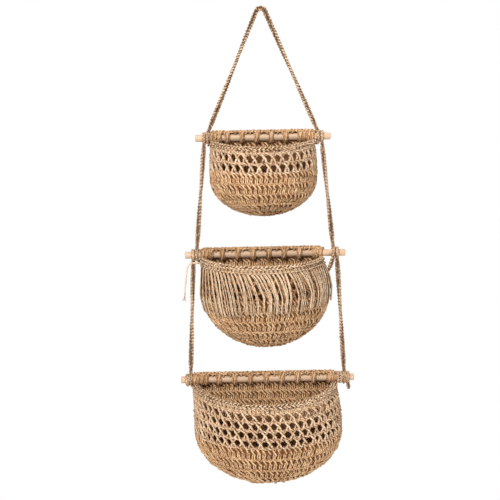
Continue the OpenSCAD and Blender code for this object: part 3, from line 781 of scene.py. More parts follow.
@dataclass
class Basket:
    """One basket: its openwork and solid rows, its back, its seam, its rim and the loops on its dowel."""

    tier: Tier
    rng: np.random.Generator = field(init=False)

    def __post_init__(self) -> None:
        """Seeds the small unevenness of the stitches."""
        self.rng = np.random.default_rng(self.tier.seed)

    @property
    def body(self) -> str:
        """Name of the CAD body."""
        return f"{self.tier.name}_basket"

    def _posts(
        self, work: Yarnwork, a: Array, q_top: float, q_low: float, wide: float, deep: float = 1.0,
        strands: tuple = STRANDS,
    ) -> None:
        """Adds the tall stitches of one row of the pocket.

        A stitch's knots are set out from its angle by their mm across over the mm per degree, between the row's two
        shares by their height, and off the fabric by their mm out, each with a little unevenness.

        Args:
            work: piece that they are added to.
            a: angles of the stitches.
            q_top: share of the way down of the row's top.
            q_low: share of its foot.
            wide: multiplies the knots' mm across.
            deep: multiplies their mm out.
            strands: the knots and radius of each strand of a stitch.
        """
        t = self.tier
        jog = self.rng.normal(0, 1, (len(a), 1, 3)) * np.array([0.55, 0.03, 0.6])
        rate = t.rate(a, np.full(len(a), (q_top + q_low) / 2))[:, None]
        for strand, radius in strands:
            wob = self.rng.normal(0, 1, (len(a), len(strand), 3)) * np.array([0.3, 0.014, 0.35])
            knots = strand[None] * np.array([wide, 1.0, deep]) + jog + wob
            angle = np.clip(a[:, None] - knots[..., 0] / rate, -1, 181)
            q = q_low + (q_top - q_low) * knots[..., 1]
            work.add(smooth(t.laid(angle, q, FABRIC_SET, knots[..., 2]), 2), radius)

    def _ridge(self, work: Yarnwork, q: float, pitch: float, wide: float, deep: float, out: float, r: float) -> None:
        """Adds a plait that runs round the pocket at the share q, spread evenly over the angles.

        Args:
            work: piece that it is added to.
            q: share of the way down.
            pitch: mm of one turn.
            wide: mm across of its strands.
            deep: mm out of its strands.
            out: mm that its middle stands off the fabric's middle.
            r: the yarn's radius.
        """
        t = self.tier
        knots = plait(max(3, round(t.round_length(q) / pitch)), wide, deep, self.rng)
        angle = 179.5 - 179.0 * knots[..., 0]
        share = q - knots[..., 1] / t.front_l
        laid = t.place(angle, share, FABRIC_SET + out + knots[..., 2])
        work.add(smooth(with_painted_shade_and_highlight(laid, 1.5 * knots[..., 2] + 0.6 * out - 0.8, t.outward(angle, share)), 2), r)

    def _heads(self, work: Yarnwork, q: float, step: float) -> None:
        """Adds slanted heads of stitches that overlap round the pocket at the share q, one for each step of mm."""
        t = self.tier
        count = round(t.round_length(q) / step)
        a = 180 * (1 - (np.arange(count) + 0.5) / count)
        knots = HEAD + self.rng.normal(0, 1, (count, len(HEAD), 3)) * np.array([0.5, 0.35, 0.3])
        knots = knots + self.rng.normal(0, 1, (count, 1, 3)) * np.array([0.5, 0.4, 0.5])
        angle = np.clip(a[:, None] - knots[..., 0] / t.rate(a, np.full(count, q))[:, None], -1, 181)
        share = q - knots[..., 1] / t.front_l
        work.add(smooth(t.laid(angle, share, FABRIC_SET + 0.8, knots[..., 2]), 2), 1.55)

    def cells(self, row: int) -> Array:
        """Angles of the stitches that stand between the holes of an openwork row."""
        i = np.arange(self.tier.columns)
        stands = ((i + row) % 2 == 0) | (i == 0) | (i == self.tier.columns - 1)
        return 180 * (1 - (i[stands] + 0.5) / self.tier.columns)

    def openwork(self) -> bpy.types.Object:
        """The collar under the rim and the openwork rows, with a chain above and below each."""
        t = self.tier
        # The middle basket's openwork takes painted shade, as the fringe hangs over it.
        work = Yarnwork(f"{t.name}_openwork", PAINTED_SHADE_OPEN_JUTE if t is MIDDLE else OPEN_JUTE)
        shares = t.mesh_shares
        every = 180 * (1 - (np.arange(t.columns) + 0.5) / t.columns)
        self._posts(work, every, -0.02, shares[0], 0.72, 1.0)
        for k in range(t.mesh_rows):
            strands = tuple((knots, r * t.thick) for knots, r in OPEN_STRANDS)
            self._posts(work, self.cells(k), shares[k], shares[k + 1], 1.0, 1.0, strands)
        for q in shares:
            self._ridge(work, q, 17.0, 1.8, 1.3, -0.6, 1.45)
            self._heads(work, q, 7.6)
        return work.build(self.body, Slot.BASKET, (f"{t.name}_front_pocket",))

    def inner(self) -> bpy.types.Object:
        """The yarn deep in the solid rows and the back, coloured as painted shade between the stitches: even strands
        along the rows.

        A strand runs round the bowl at one share of the way down, or straight across the back at one depth, and
        weaves a little in and out as a sine.
        """
        t = self.tier
        work = Yarnwork(f"{t.name}_inner", PAINTED_SHADE_JUTE, sides=4)
        gap = 2.7
        count = math.ceil((0.99 - t.mesh_shares[-1]) * t.front_l / gap)
        q = np.linspace(t.mesh_shares[-1] - 1.0 / t.front_l, 0.985, count)[:, None]
        a = np.linspace(179.8, 0.2, 70)[None]
        out = FABRIC_SET - 0.5 + 0.35 * np.sin(np.radians(a) * 40 + np.arange(count)[:, None] * np.pi)
        work.add(t.place(a + 0 * q, q + 0 * a, out), 1.5)
        rows = math.ceil((t.bottom * 0.985 + 6) / gap)
        s = np.linspace(-6, t.bottom * 0.985, rows)[:, None]
        share = np.linspace(-0.985, 0.985, 50)[None]
        x = np.where(np.abs(s) < PANEL_TOP, t.lean + share * t.neck, t.middle_at(s) + share * t.half_at(s))
        open_ = (np.abs(s) < PANEL_TOP) & (np.abs(x[..., None] - self.places).min(-1) < 4.0)
        y = PANEL_MID + 0.35 * np.sin(share * 60 + np.arange(rows)[:, None] * np.pi) + 1.2 * open_
        work.add(np.stack([x, y, t.axis_z - s + 0 * x], -1), 1.5)
        return work.build(self.body, Slot.BASKET)

    def solid(self) -> bpy.types.Object:
        """The solid rows of the round bottom: about one stitch for each 10 mm, with a ridge under each row."""
        t = self.tier
        work = Yarnwork(f"{t.name}_bowl", JUTE)
        shares = t.solid_shares
        for k in range(len(shares) - 1):
            q = (shares[k] + shares[k + 1]) / 2
            count = max(3, round(t.round_length(q) / STITCH_W))
            a = 180 * (1 - (np.arange(count) + 0.5 + 0.2 * (k % 2)) / (count + 0.2))
            self._posts(work, a, shares[k], shares[k + 1], t.round_length(q) / count / 9.4)
            proud = 1.6 if k == t.ridge_row else 0.0
            self._ridge(work, shares[k + 1], 2 * STITCH_W, 2.0 + 0.3 * proud, 1.5, 1.5 + proud, 1.4)
        return work.build(self.body, Slot.BASKET)

    def back(self) -> bpy.types.Object:
        """The flat back: straight rows between the outline's edges, each with a ridge above it."""
        t = self.tier
        work = Yarnwork(f"{t.name}_back", JUTE, sides=5)
        rows = round((t.bottom * 0.975 - PANEL_TOP) / ROW_H)
        edges = np.linspace(PANEL_TOP, t.bottom * 0.975, rows + 1)
        for k in range(rows):
            mid = (edges[k] + edges[k + 1]) / 2
            half = float(t.half_at(np.array(mid)))
            count = max(3, round(2 * half / STITCH_W))
            share = (np.arange(count) + 0.5) / count * 2 - 1
            self._flat_row(work, share, edges[k], edges[k + 1], half)
            wide = float(t.half_at(np.array(edges[k])))
            self._flat_ridge(work, edges[k], max(3, round(wide / STITCH_W)))
        self._top_row(work)
        return work.build(self.body, Slot.BASKET, (f"{t.name}_back_panel",))

    def _flat_row(self, work: Yarnwork, share: Array, s_top: float, s_low: float, half: float) -> None:
        """Adds one row of tall stitches of the back, set out as the pocket's are but on the flat."""
        t = self.tier
        jog = self.rng.normal(0, 1, (len(share), 1, 3)) * np.array([0.5, 0.03, 0.2])
        for strand, radius in (STRANDS[0], *STRANDS[2:]):
            wob = self.rng.normal(0, 1, (len(share), len(strand), 3)) * np.array([0.25, 0.014, 0.15])
            knots = strand[None] * np.array([1.0, 1.0, 0.8]) + wob + jog
            across = np.clip(share[:, None] + knots[..., 0] / half, -1, 1)
            s = s_low + (s_top - s_low) * knots[..., 1]
            work.add(smooth(self._flat_painted_shade(t.flat(across, s, knots[..., 2]), s, knots[..., 2]), 2), radius)

    def _flat_painted_shade(self, points: Array, s: Array, out: Array) -> Array:
        """Points of the back with painted shade, which face the side they stand out on; the front gets painted shade
        where the pocket hides it.
        """
        front = out > -0.6
        facing = np.stack([0 * out, np.where(front, -1.0, 1.0), 0 * out], -1)
        # Painted shade inside the pocket: below the depth seen over the rim, the front darkens over 16 mm.
        shade = np.where(front, np.clip(1.0 - (s - self.tier.seen) / 16, 0.12, 1.0), 1.0)
        return with_painted_shade_and_highlight(points, (1.25 * np.abs(out) + 0.1) * shade - 1.4 * (1 - shade), facing)

    def _flat_ridge(self, work: Yarnwork, s: float, turns: int) -> None:
        """Adds a plait across the back at the depth s."""
        t = self.tier
        knots = plait(turns, 1.7, 1.3, self.rng)
        depth = s - knots[..., 1]
        laid = t.flat(2 * knots[..., 0] - 1, depth, knots[..., 2] + 0.6)
        work.add(smooth(self._flat_painted_shade(laid, depth, knots[..., 2] + 0.4), 1), 1.4)

    @property
    def places(self) -> Array:
        """Positions along x of the loops that cross in front of the dowel."""
        t = self.tier
        return (np.arange(t.loops) - (t.loops - 1) / 2) * t.loop_pitch + t.loop_shift

    def _top_row(self, work: Yarnwork) -> None:
        """Adds the stitches that pass behind the dowel, at every place where no loop passes in front of it."""
        t = self.tier
        count = round(2 * t.neck / STITCH_W)
        x = t.lean + ((np.arange(count) + 0.5) / count * 2 - 1) * t.neck
        x = x[np.abs(x[:, None] - self.places[None]).min(axis=1) > 6.5]
        for strand, radius in STRANDS:
            wob = self.rng.normal(0, 1, (len(x), len(strand), 3)) * np.array([0.2, 0.012, 0.12])
            knots = strand[None] * np.array([1.0, 1.0, 0.75]) + wob
            z = t.axis_z - PANEL_TOP + (PANEL_TOP + EDGE_Z - 1.5) * knots[..., 1]
            p = np.stack([x[:, None] + knots[..., 0], PANEL_MID - knots[..., 2], z], -1)
            work.add(smooth(self._flat_painted_shade(p, 0 * z, knots[..., 2]), 2), min(radius, 1.7))

    def seam(self) -> bpy.types.Object:
        """The seam: a chain that faces outwards round the back's outline.

        The outline runs down the left side at middle - half, through the lowest point and up the right side, and a
        link's place on it is read off its length.
        """
        t = self.tier
        turn = np.linspace(0, 1, 60)
        s = np.concatenate([np.linspace(POCKET_TOP, t.shoulder, 20)[:-1], t.shoulder + t.bowl * np.sin(turn * np.pi / 2)])
        left = np.stack([t.middle_at(s) - t.half_at(s), -s], -1)
        right = np.stack([t.middle_at(s) + t.half_at(s), -s], -1)[::-1][1:]
        line = np.concatenate([left, right])
        length = np.concatenate([[0], np.cumsum(np.linalg.norm(np.diff(line, axis=0), axis=1))])
        work = Yarnwork(f"{t.name}_seam", JUTE)
        knots = plait(round(length[-1] / 18.0), 3.5, 2.3, self.rng, 0.55)
        at = knots[..., 0] * length[-1]
        p = np.stack([np.interp(at, length, line[:, 0]), np.interp(at, length, line[:, 1])], -1)
        ahead = np.stack([np.interp(at + 1, length, line[:, 0]), np.interp(at + 1, length, line[:, 1])], -1)
        behind = np.stack([np.interp(at - 1, length, line[:, 0]), np.interp(at - 1, length, line[:, 1])], -1)
        along = unit(ahead - behind)
        out = np.stack([along[..., 1], -along[..., 0]], -1)
        p = p + out * (knots[..., 2:] + 0.5)
        p = np.stack([p[..., 0], 8.2 + knots[..., 1], p[..., 1] + t.axis_z], -1)
        facing = np.stack([out[..., 0], 0 * at - 0.6, out[..., 1]], -1)
        work.add(smooth(with_painted_shade_and_highlight(p, knots[..., 2] + 0.3, facing), 2))
        return work.build(self.body, Slot.BASKET, (f"{t.name}_side_seam",))

    def rim(self) -> bpy.types.Object:
        """The edging of the mouth: a broad plait on top that leans out, one just inside it and one below it."""
        t = self.tier
        work = Yarnwork(f"{t.name}_edging", EDGE_JUTE)
        turns = round(t.round_length(0.0) / 22.0)
        for out, lift, wide, lean in ((0.5, 4.2, 3.7, 35), (-4.6, 5.6, 2.8, 115), (-0.8, -2.0, 2.6, 0)):
            knots = plait(turns, wide, 2.3, self.rng, 0.55)
            angle = 179.5 - 179.0 * knots[..., 0]
            tilt = math.radians(lean)
            off = out + knots[..., 2] * math.cos(tilt) - knots[..., 1] * math.sin(tilt)
            up = lift + knots[..., 2] * math.sin(tilt) + knots[..., 1] * math.cos(tilt)
            zero = 0 * angle
            facing = t.outward(angle, zero) * math.cos(tilt) + np.array([0.0, 0.0, math.sin(tilt)])
            work.add(smooth(with_painted_shade_and_highlight(t.place(angle, zero, off, up), 1.7 * knots[..., 2] - 0.4, facing), 3), 1.6)
        return work.build(self.body, Slot.EDGING, (f"{t.name}_rim",))

    def dowel_loops(self) -> bpy.types.Object:
        """The loops over the dowel and the chain edge that they hang from.

        A loop is six strands: each leaves the edge above the dowel, passes over its front on a circle
        just off the wood, and goes under it into the back's first row. Three plaits run along the edge.
        """
        t = self.tier
        work = Yarnwork(f"{t.name}_loops", JUTE)
        r = DOWEL_R + YARN_R + 0.1
        turn = np.radians(np.array([110, 140, 170, 200, 230, 262]))
        arc = np.stack([np.zeros(6), r * np.cos(turn), r * np.sin(turn)], -1)
        start = np.array([[0, 6.0, 8.6], [0, 1.5, 10.6]])
        end = np.array([[0, 4.5, -9.6], [0, 9.0, -11.0], [0, 10.5, -14.5]])
        route = np.concatenate([start, arc, end])
        flare = np.linspace(-1, 1, len(route)) ** 2
        places = np.concatenate([self.places, *map(np.array, t.ends)])
        under = ((-3.3, -6.4, 0.3, 0.0), (-1.1, -3.0, 0.3, 0.0), (1.1, 3.0, 0.3, 0.0), (3.3, 6.4, 0.3, 0.0))
        for side, wide, lean, off in (*under, (0.0, 0.0, -4.6, 2.3), (0.3, 0.0, 4.0, 1.2)):
            knots = np.repeat(route[None], len(places), axis=0)
            away = np.zeros(len(route))
            away[2:8] = off
            knots[..., 1:] += (unit(route[:, 1:]) * away[:, None])[None]
            knots[..., 0] = places[:, None] + side + wide * flare + lean * np.linspace(-1, 1, len(route))
            knots = knots + self.rng.normal(0, 0.25, knots.shape) * np.array([1.6, 0.5, 0.5])
            facing = unit(knots * np.array([0.0, 1.0, 1.0]))
            knots[..., 2] += t.axis_z
            work.add(smooth(with_painted_shade_and_highlight(knots, 0.5 + 0.6 * off, facing), 4), 1.7)
        turns = round(2 * t.neck / 21)
        for y, z, tilt in ((-3.4, 1.5, math.radians(-50)), (3.0, 1.4, math.radians(-5)), (9.4, 0.0, math.radians(40))):
            knots = plait(turns, 2.8, 1.7, self.rng, 0.4)
            x = t.lean - t.neck + 2 * t.neck * knots[..., 0]
            up = EDGE_Z + z + knots[..., 2] * math.cos(tilt) - knots[..., 1] * math.sin(tilt)
            back = y + knots[..., 2] * math.sin(tilt) + knots[..., 1] * math.cos(tilt)
            facing = np.array([0.0, math.sin(tilt), math.cos(tilt)])
            work.add(smooth(with_painted_shade_and_highlight(np.stack([x, back, up + t.axis_z], -1), knots[..., 2] + 0.4, facing), 3), 1.7)
        self._edge_whip(work)
        return work.build(self.body, Slot.BASKET, (f"{t.name}_dowel_loops",))

    def _edge_whip(self, work: Yarnwork) -> None:
        """Adds the strands that pass over the edge from front to back, about one for each 11 mm, slanted by turns."""
        t = self.tier
        count = round(2 * t.neck / 11)
        x = t.lean + ((np.arange(count) + 0.5) / count * 2 - 1) * (t.neck - 2)
        over = np.array([[-6.2, 5.0], [-6.4, 8.6], [-3.0, 12.2], [3.5, 13.2], [9.5, 12.0], [12.6, 8.0], [11.5, 4.0]])
        slant = 3.6 * np.linspace(-1, 1, len(over)) * np.where(np.arange(count) % 2, 1.0, 0.4)[:, None]
        knots = np.concatenate([(x[:, None] + slant)[..., None], np.broadcast_to(over, (count, *over.shape))], -1)
        knots = knots + self.rng.normal(0, 0.4, knots.shape)
        facing = unit(knots * np.array([0.0, 1.0, 1.0]) - np.array([0.0, 3.0, 4.0]))
        knots[..., 2] += t.axis_z
        work.add(smooth(with_painted_shade_and_highlight(knots, 0.9, facing), 3), 1.7)

    def dowel(self) -> None:
        """Dresses the CAD dowel in wood."""
        node = bpy.data.objects[f"{self.tier.name}_dowel"]
        node.data.materials.clear()
        node.data.materials.append(WoodFinish().material())

    def build(self) -> None:
        """Builds every piece of the basket."""
        self.dowel()
        for make in (self.openwork, self.inner, self.solid, self.back, self.seam, self.rim, self.dowel_loops):
            make()


# Hanger


def along_line(points: Array, at: Array) -> tuple[Array, Array]:
    """Points and directions at given lengths along a fine polyline, read off by interpolation."""
    length = np.concatenate([[0], np.cumsum(np.linalg.norm(np.diff(points, axis=0), axis=1))])
    read = lambda d: np.stack([np.interp(d, length, points[:, k]) for k in range(3)], -1)
    return read(at), unit(read(at + 1.0) - read(at - 1.0))


@dataclass
class Hanger:
    """The crocheted cords, their wraps round the dowels, the hitches and the end knots."""

    cord_x: tuple[float, float, float] = (114.0, 140.0, 157.0)
    dowel_z: tuple[float, float, float] = (-255.0, -488.0, -737.0)
    pitch: float = 18.5
    wide: float = 3.6
    deep: float = 2.1
    rng: np.random.Generator = field(default_factory=lambda: np.random.default_rng(5))

    def top_of_wrap(self, k: int, side: Side) -> Array:
        """Where the cord from above lands on dowel k."""
        return np.array([side.value * (self.cord_x[k] - WRAP_PITCH / 2), 0.0, self.dowel_z[k] + WRAP_R])

    def foot_of_wrap(self, k: int, side: Side) -> Array:
        """Where the cord to the dowel below leaves dowel k."""
        return np.array([side.value * (self.cord_x[k] + WRAP_PITCH / 2), 0.0, self.dowel_z[k] - WRAP_R])

    def plait_on(self, work: Yarnwork, line: Array, face: Array, spin: float = 0.0) -> None:
        """Adds a plait along a polyline.

        A strand's knots go along the line by their share, across it by the cross product of its direction and the
        facing, and out by the facing, which may turn slowly about the line. The plait is slimmer at its two ends,
        where it leaves a wrap.

        Args:
            work: piece that it is added to.
            line: (N, 3) points of the cord's middle.
            face: direction that the plait's open side faces.
            spin: turns of the facing over the whole length.
        """
        total = float(np.linalg.norm(np.diff(line, axis=0), axis=1).sum())
        knots = plait(max(1, round(total / self.pitch)), self.wide, self.deep, self.rng, 0.2)
        at = knots[..., 0] * total
        p, t = along_line(line, at)
        out = unit(face - (t @ face)[..., None] * t)
        across = np.cross(t, out)
        turn = (2 * np.pi * spin * at / total)[..., None]
        out, across = np.cos(turn) * out + np.sin(turn) * across, np.cos(turn) * across - np.sin(turn) * out
        slim = 0.5 + 0.5 * np.clip(np.minimum(at, total - at) / 15, 0, 1)[..., None]
        away = (across * knots[..., 1:2] + out * knots[..., 2:]) * slim
        height = np.linalg.norm(away, axis=-1)
        work.add(smooth(with_painted_shade_and_highlight(p + away, 1.3 * height - 1.6, unit(away) + 0.2 * out), 2), 1.85)

    def wrap(self, work: Yarnwork, x: float, z: float, turns: float = 1.0, step: float = 0.0, start: float = 90.0) -> None:
        """Adds a plait that winds round a dowel: a helix of the wrap's radius, its strands facing outwards, four times round.

        Args:
            work: piece that it is added to.
            x: position along the dowel.
            z: height of the dowel's axis.
            turns: number of turns.
            step: mm along the dowel for each turn.
            start: angle of the beginning in degrees, from the back.
        """
        knots = plait(round(4 * turns), 2.05, 1.0, self.rng, 0.12)
        angle = np.radians(start) + 2 * np.pi * turns * knots[..., 0]
        r = WRAP_R + 0.2 + knots[..., 2]
        out = np.stack([0 * angle, np.cos(angle), np.sin(angle)], -1)
        p = out * r[..., None]
        p[..., 0] = x + knots[..., 1] + step * (angle - np.radians(start)) / (2 * np.pi)
        p[..., 2] += z
        work.add(smooth(with_painted_shade_and_highlight(p, 1.4 * knots[..., 2] + 1.1, out), 3), 1.6)

    def over_wrap(self, work: Yarnwork, x: float, z: float, slant: float) -> None:
        """Adds one strand that binds a hitch: a slanted ring just outside the wrap."""
        angle = np.linspace(0, 2.2 * np.pi, 34)
        r = WRAP_R + 3.2 + 0.2 * np.cos(3 * angle)
        out = np.stack([0 * angle, np.cos(angle), np.sin(angle)], -1)
        p = out * r[:, None] + np.stack([x + slant * np.sin(angle), 0 * angle, z + 0 * angle], -1)
        work.add(with_painted_shade_and_highlight(p, 1.6, out), 1.4)

    def hanging_cord(self) -> bpy.types.Object:
        """The cord over the hook: both straight legs touch the bend's circle, and the bend joins them on top."""
        top = self.top_of_wrap(0, Side.RIGHT)
        leg = np.array([top[0], top[2] - BEND_Z])
        length = math.sqrt(leg @ leg - BEND_R**2)
        angle = math.atan2(leg[0], -leg[1]) - math.atan2(BEND_R, length)
        start = np.array([BEND_R * math.cos(angle), 0.0, BEND_Z + BEND_R * math.sin(angle)])
        way = np.array([math.sin(angle), 0.0, -math.cos(angle)])
        turn = np.linspace(angle, math.pi - angle, 25)
        bend = np.stack([BEND_R * np.cos(turn), np.zeros(25), BEND_Z + BEND_R * np.sin(turn)], -1)
        leg_at = np.linspace(length - STUB, 0, 60)[:-1, None]
        right = start + leg_at * way
        left = right[::-1] * np.array([-1.0, 1.0, 1.0])
        line = np.concatenate([right, bend, left])
        work = Yarnwork("hanging_cord_yarn", CORD)
        self.plait_on(work, line, np.array([0.0, -1.0, 0.15]), 1.0)
        piece = work.build("hanger", Slot.CORD, ("hanging_cord",))
        self.declare(piece, line, [])
        return piece

    @staticmethod
    def declare(piece: bpy.types.Object, line: Array, on_it: list[bpy.types.Object], across: float = 8.0) -> None:
        """Takes a taut cord that runs from the object back into it, with the pieces on it, and does nothing with them.
        """

    def run(self, k: int, side: Side) -> bpy.types.Object:
        """The cord from dowel k to the next: its own wrap round dowel k and the straight run below it."""
        name, body = ("middle", "middle_cords") if k == 0 else ("bottom", "bottom_cords")
        foot, top = self.foot_of_wrap(k, side), self.top_of_wrap(k + 1, side)
        way = unit(top - foot)
        line = foot + np.linspace(0, np.linalg.norm(top - foot) - STUB, 60)[:, None] * way
        around = Yarnwork(f"{name}_wrap_{side.name.lower()}_yarn", CORD)
        self.wrap(around, foot[0], self.dowel_z[k])
        ring = around.build(body, Slot.CORD)
        work = Yarnwork(f"{name}_cord_{side.name.lower()}_yarn", CORD)
        self.plait_on(work, line, np.array([0.2 * side.value, -1.0, 0.0]), 0.6 * side.value)
        piece = work.build(body, Slot.CORD, (f"{name}_cord_{side.name.lower()}",))
        self.declare(piece, line, [ring])
        return piece

    def hitch(self, k: int, side: Side, body: str, node: str, inward: int = 0, outward: int = 0) -> bpy.types.Object:
        """A hitch or end knot on dowel k: the wrap that the cord lands on, further wraps, the binding and the stub.

        Args:
            k: number of the dowel.
            side: left or right.
            body: body that it rides on.
            node: CAD node that it stands for.
            inward: further wraps towards the middle.
            outward: further wraps towards the dowel's end.
        """
        top, z = self.top_of_wrap(k, side), self.dowel_z[k]
        above = np.array([0.0, 0.0, BEND_Z]) if k == 0 else self.foot_of_wrap(k - 1, side)
        way = unit(top - above)
        work = Yarnwork(f"{node}_yarn", CORD)
        for j in range(-inward, outward + 1):
            self.wrap(work, top[0] + side.value * j * 6.6, z, start=90 + 40 * j)
        self.over_wrap(work, top[0], z, 1.6 * side.value)
        if inward + outward:
            self.over_wrap(work, top[0] + side.value * 3.3, z, -2.2 * side.value)
        line = top - np.linspace(STUB + 1, 0, 6)[:, None] * way
        self.plait_on(work, line, np.array([0.0, -1.0, 0.0]))
        if node == "top_hitch_right":
            self._knot(work, top + np.array([0.0, -1.0, -2 * WRAP_R - 4.0]))
        if node == "bottom_knot_right":
            x = self.cord_x[2] - WRAP_PITCH / 2 + 6.6
            end = np.linspace([x, -2.0, z - WRAP_R], [x + 2, -3.0, z - WRAP_R - 13], 8)
            self.plait_on(work, end, np.array([0.0, -1.0, 0.0]))
        return work.build(body, Slot.CORD, (node,))

    def _knot(self, work: Yarnwork, centre: Array) -> None:
        """Adds a small overhand knot: a trefoil of yarn with radii of about 2 mm."""
        t = np.linspace(0, 2 * np.pi, 40)
        p = np.stack([np.sin(t) + 1.6 * np.sin(2 * t), 1.2 * np.sin(3 * t), np.cos(t) - 1.6 * np.cos(2 * t)], -1)
        work.add(centre + 0.85 * p, 1.1)

    def build(self) -> None:
        """Builds the cords first and then the hitches and knots."""
        self.hanging_cord()
        for side in Side:
            self.run(0, side)
            self.run(1, side)
        for side in Side:
            word = side.name.lower()
            self.hitch(0, side, "hanger", f"top_hitch_{word}")
            self.hitch(1, side, "middle_cords", f"middle_hitch_{word}")
        self.hitch(2, Side.LEFT, "bottom_cords", "bottom_knot_left", 0, 1)
        self.hitch(2, Side.RIGHT, "bottom_cords", "bottom_knot_right", 2, 1)


# Fringe and loose ends


@dataclass
class Trimmings:
    """The fringe on the middle basket, the loose end at its left and the short braid at its right."""

    tier: Tier = MIDDLE
    places: int = 38
    length: float = 84.0
    rng: np.random.Generator = field(default_factory=lambda: np.random.default_rng(7))

    def fringe(self) -> bpy.types.Object:
        """The fringe: at each of its places a pair of strands that is drawn through the rim under a short cross loop.

        The places are spread half by angle and half by width. A strand follows the pocket's face a little way off,
        leans to the right near its top by a few degrees of the mouth's angle, wanders, and falls a little off it.
        """
        t = self.tier
        u = np.linspace(-1, 1, self.places)
        at = 90 - (39 * u + 0.5 * np.degrees(np.arcsin(0.98 * u)))
        share = np.repeat((u + 1) / 2, 2)
        which = np.tile([-0.5, 0.5], self.places)
        a = np.repeat(at, 2) - 1.0 * which
        fall = np.linspace(0, 1, 9)[None]
        group = 2.4 * np.sin(np.arange(self.places) * 0.83 + 1.0) * np.sin(np.arange(self.places) * 0.31)
        slant = -9.0 * np.sin(np.pi * share**0.8) + np.repeat(group + self.rng.normal(0, 1.2, self.places), 2)
        slant += self.rng.normal(0, 0.35, len(a))
        eased = np.clip(fall / 0.6, 0, 1) ** 0.8
        angle = a[:, None] + slant[:, None] * eased + np.cumsum(self.rng.normal(0, 0.16, (len(a), 9)), axis=1)
        total = self.length * (1.06 - 0.2 * share) + np.repeat(self.rng.normal(0, 2.2, self.places), 2)
        total += self.rng.normal(0, 1.3, len(a))
        q = (total[:, None] * fall + 3.0) / t.front_l
        set_ = 2.2 + 3.5 * fall + 1.2 * np.sin(np.pi * fall) * np.repeat(self.rng.uniform(0, 1, self.places), 2)[:, None]
        out = 0.6 * which[:, None] + self.rng.normal(0, 0.3, (len(a), 9))
        body = with_painted_shade_and_highlight(t.place(angle, q, out + set_), 2.1 + 0 * out, t.outward(angle, q))
        over = np.stack([t.place(a, 0 * a, 0 * a + o, h) for o, h in ((-2.4, 1.0), (0.6, 2.6), (2.6, 1.0))], 1)
        facing = t.outward(a, 0 * a)[:, None] * 0.6 + np.array([0.0, 0.0, 0.8])
        over = with_painted_shade_and_highlight(over, 1.4, np.broadcast_to(facing, over.shape))
        work = Yarnwork("middle_fringe_yarn", FRINGE)
        route = smooth(np.concatenate([over, body], axis=1), 2)
        r = np.full(route.shape[1], 1.2)
        r[-2:] = (1.3, 0.8)
        work.add(route, r)
        beads = Yarnwork("middle_fringe_beads", EDGE_JUTE)
        span = np.array([2.1, 1.4, 0.0, -1.4, -2.1])
        loop_a = at[:, None] + span + self.rng.normal(0, 0.15, (self.places, 5))
        loop_q = (4.4 + np.array([1.2, 0.6, 0.0, 0.6, 1.2]) + self.rng.normal(0, 0.5, (self.places, 5))) / t.front_l
        beads.add(smooth(t.laid(loop_a, loop_q, 3.2, np.array([-3.0, 0.6, 1.8, 0.6, -3.0]) + 0 * loop_a), 3), 1.5)
        beads.build("middle_basket", Slot.EDGING)
        return work.build("middle_basket", Slot.FRINGE, ("middle_fringe",))

    def tail(self) -> bpy.types.Object:
        """The loose end: one strand on a smooth route that ends in a brush of fibres fanned out in a cone."""
        knots = np.array(
            [
                [-127, -4, -12], [-129.5, -9, -15], [-134, -16, -16.5], [-141, -17.5, -15.5], [-148.5, -16, -17],
                [-154, -12, -24], [-157, -9.5, -36], [-159, -8, -54], [-161, -7, -74], [-161.5, -7, -82],
            ]
        ) + np.array([0.0, 0.0, self.tier.axis_z])
        line = smooth(knots, 5)
        work = Yarnwork("middle_tail_yarn", FRINGE)
        work.add(line, 1.5)
        piece = work.build("middle_basket", Slot.FRINGE, ("middle_yarn_tail",))
        brush = Yarnwork("middle_tail_brush", FRINGE, sides=3)
        count = 26
        way = unit(line[-1] - line[-4])
        fan = self.rng.normal(0, 1, (count, 3)) * np.array([0.30, 0.30, 0.1])
        fall = np.linspace(0, 1, 5)
        length = self.rng.uniform(7, 12, count)
        start = line[-3] + self.rng.normal(0, 0.5, (count, 3))
        bent = way[None, None] * fall[None, :, None] * length[:, None, None]
        spread = fan[:, None] * (fall**1.6)[None, :, None] * length[:, None, None]
        brush.add(start[:, None] + bent + spread, np.linspace(0.4, 0.16, 5))
        ends = brush.build("middle_basket", Slot.FRINGE)
        return piece

    def braid(self, hanger: Hanger) -> bpy.types.Object:
        """The short braid from the right-hand hitch down to the side of the basket."""
        knots = np.array([[137, -17, -2], [134.5, -17, -10], [131, -14, -20], [127.5, -8, -30], [124.2, -3, -38]])
        line = smooth(knots + np.array([0.0, 0.0, self.tier.axis_z]), 6)
        work = Yarnwork("middle_braid_yarn", CORD)
        hanger.plait_on(work, line, np.array([0.3, -1.0, 0.2]))
        piece = work.build("middle_basket", Slot.CORD, ("middle_side_braid",))
        hanger.declare(piece, line, [], 6.6)
        return piece

    def build(self, hanger: Hanger) -> None:
        """Builds the loose end, the braid and the fringe."""
        self.tail()
        self.braid(hanger)
        self.fringe()


# Studio


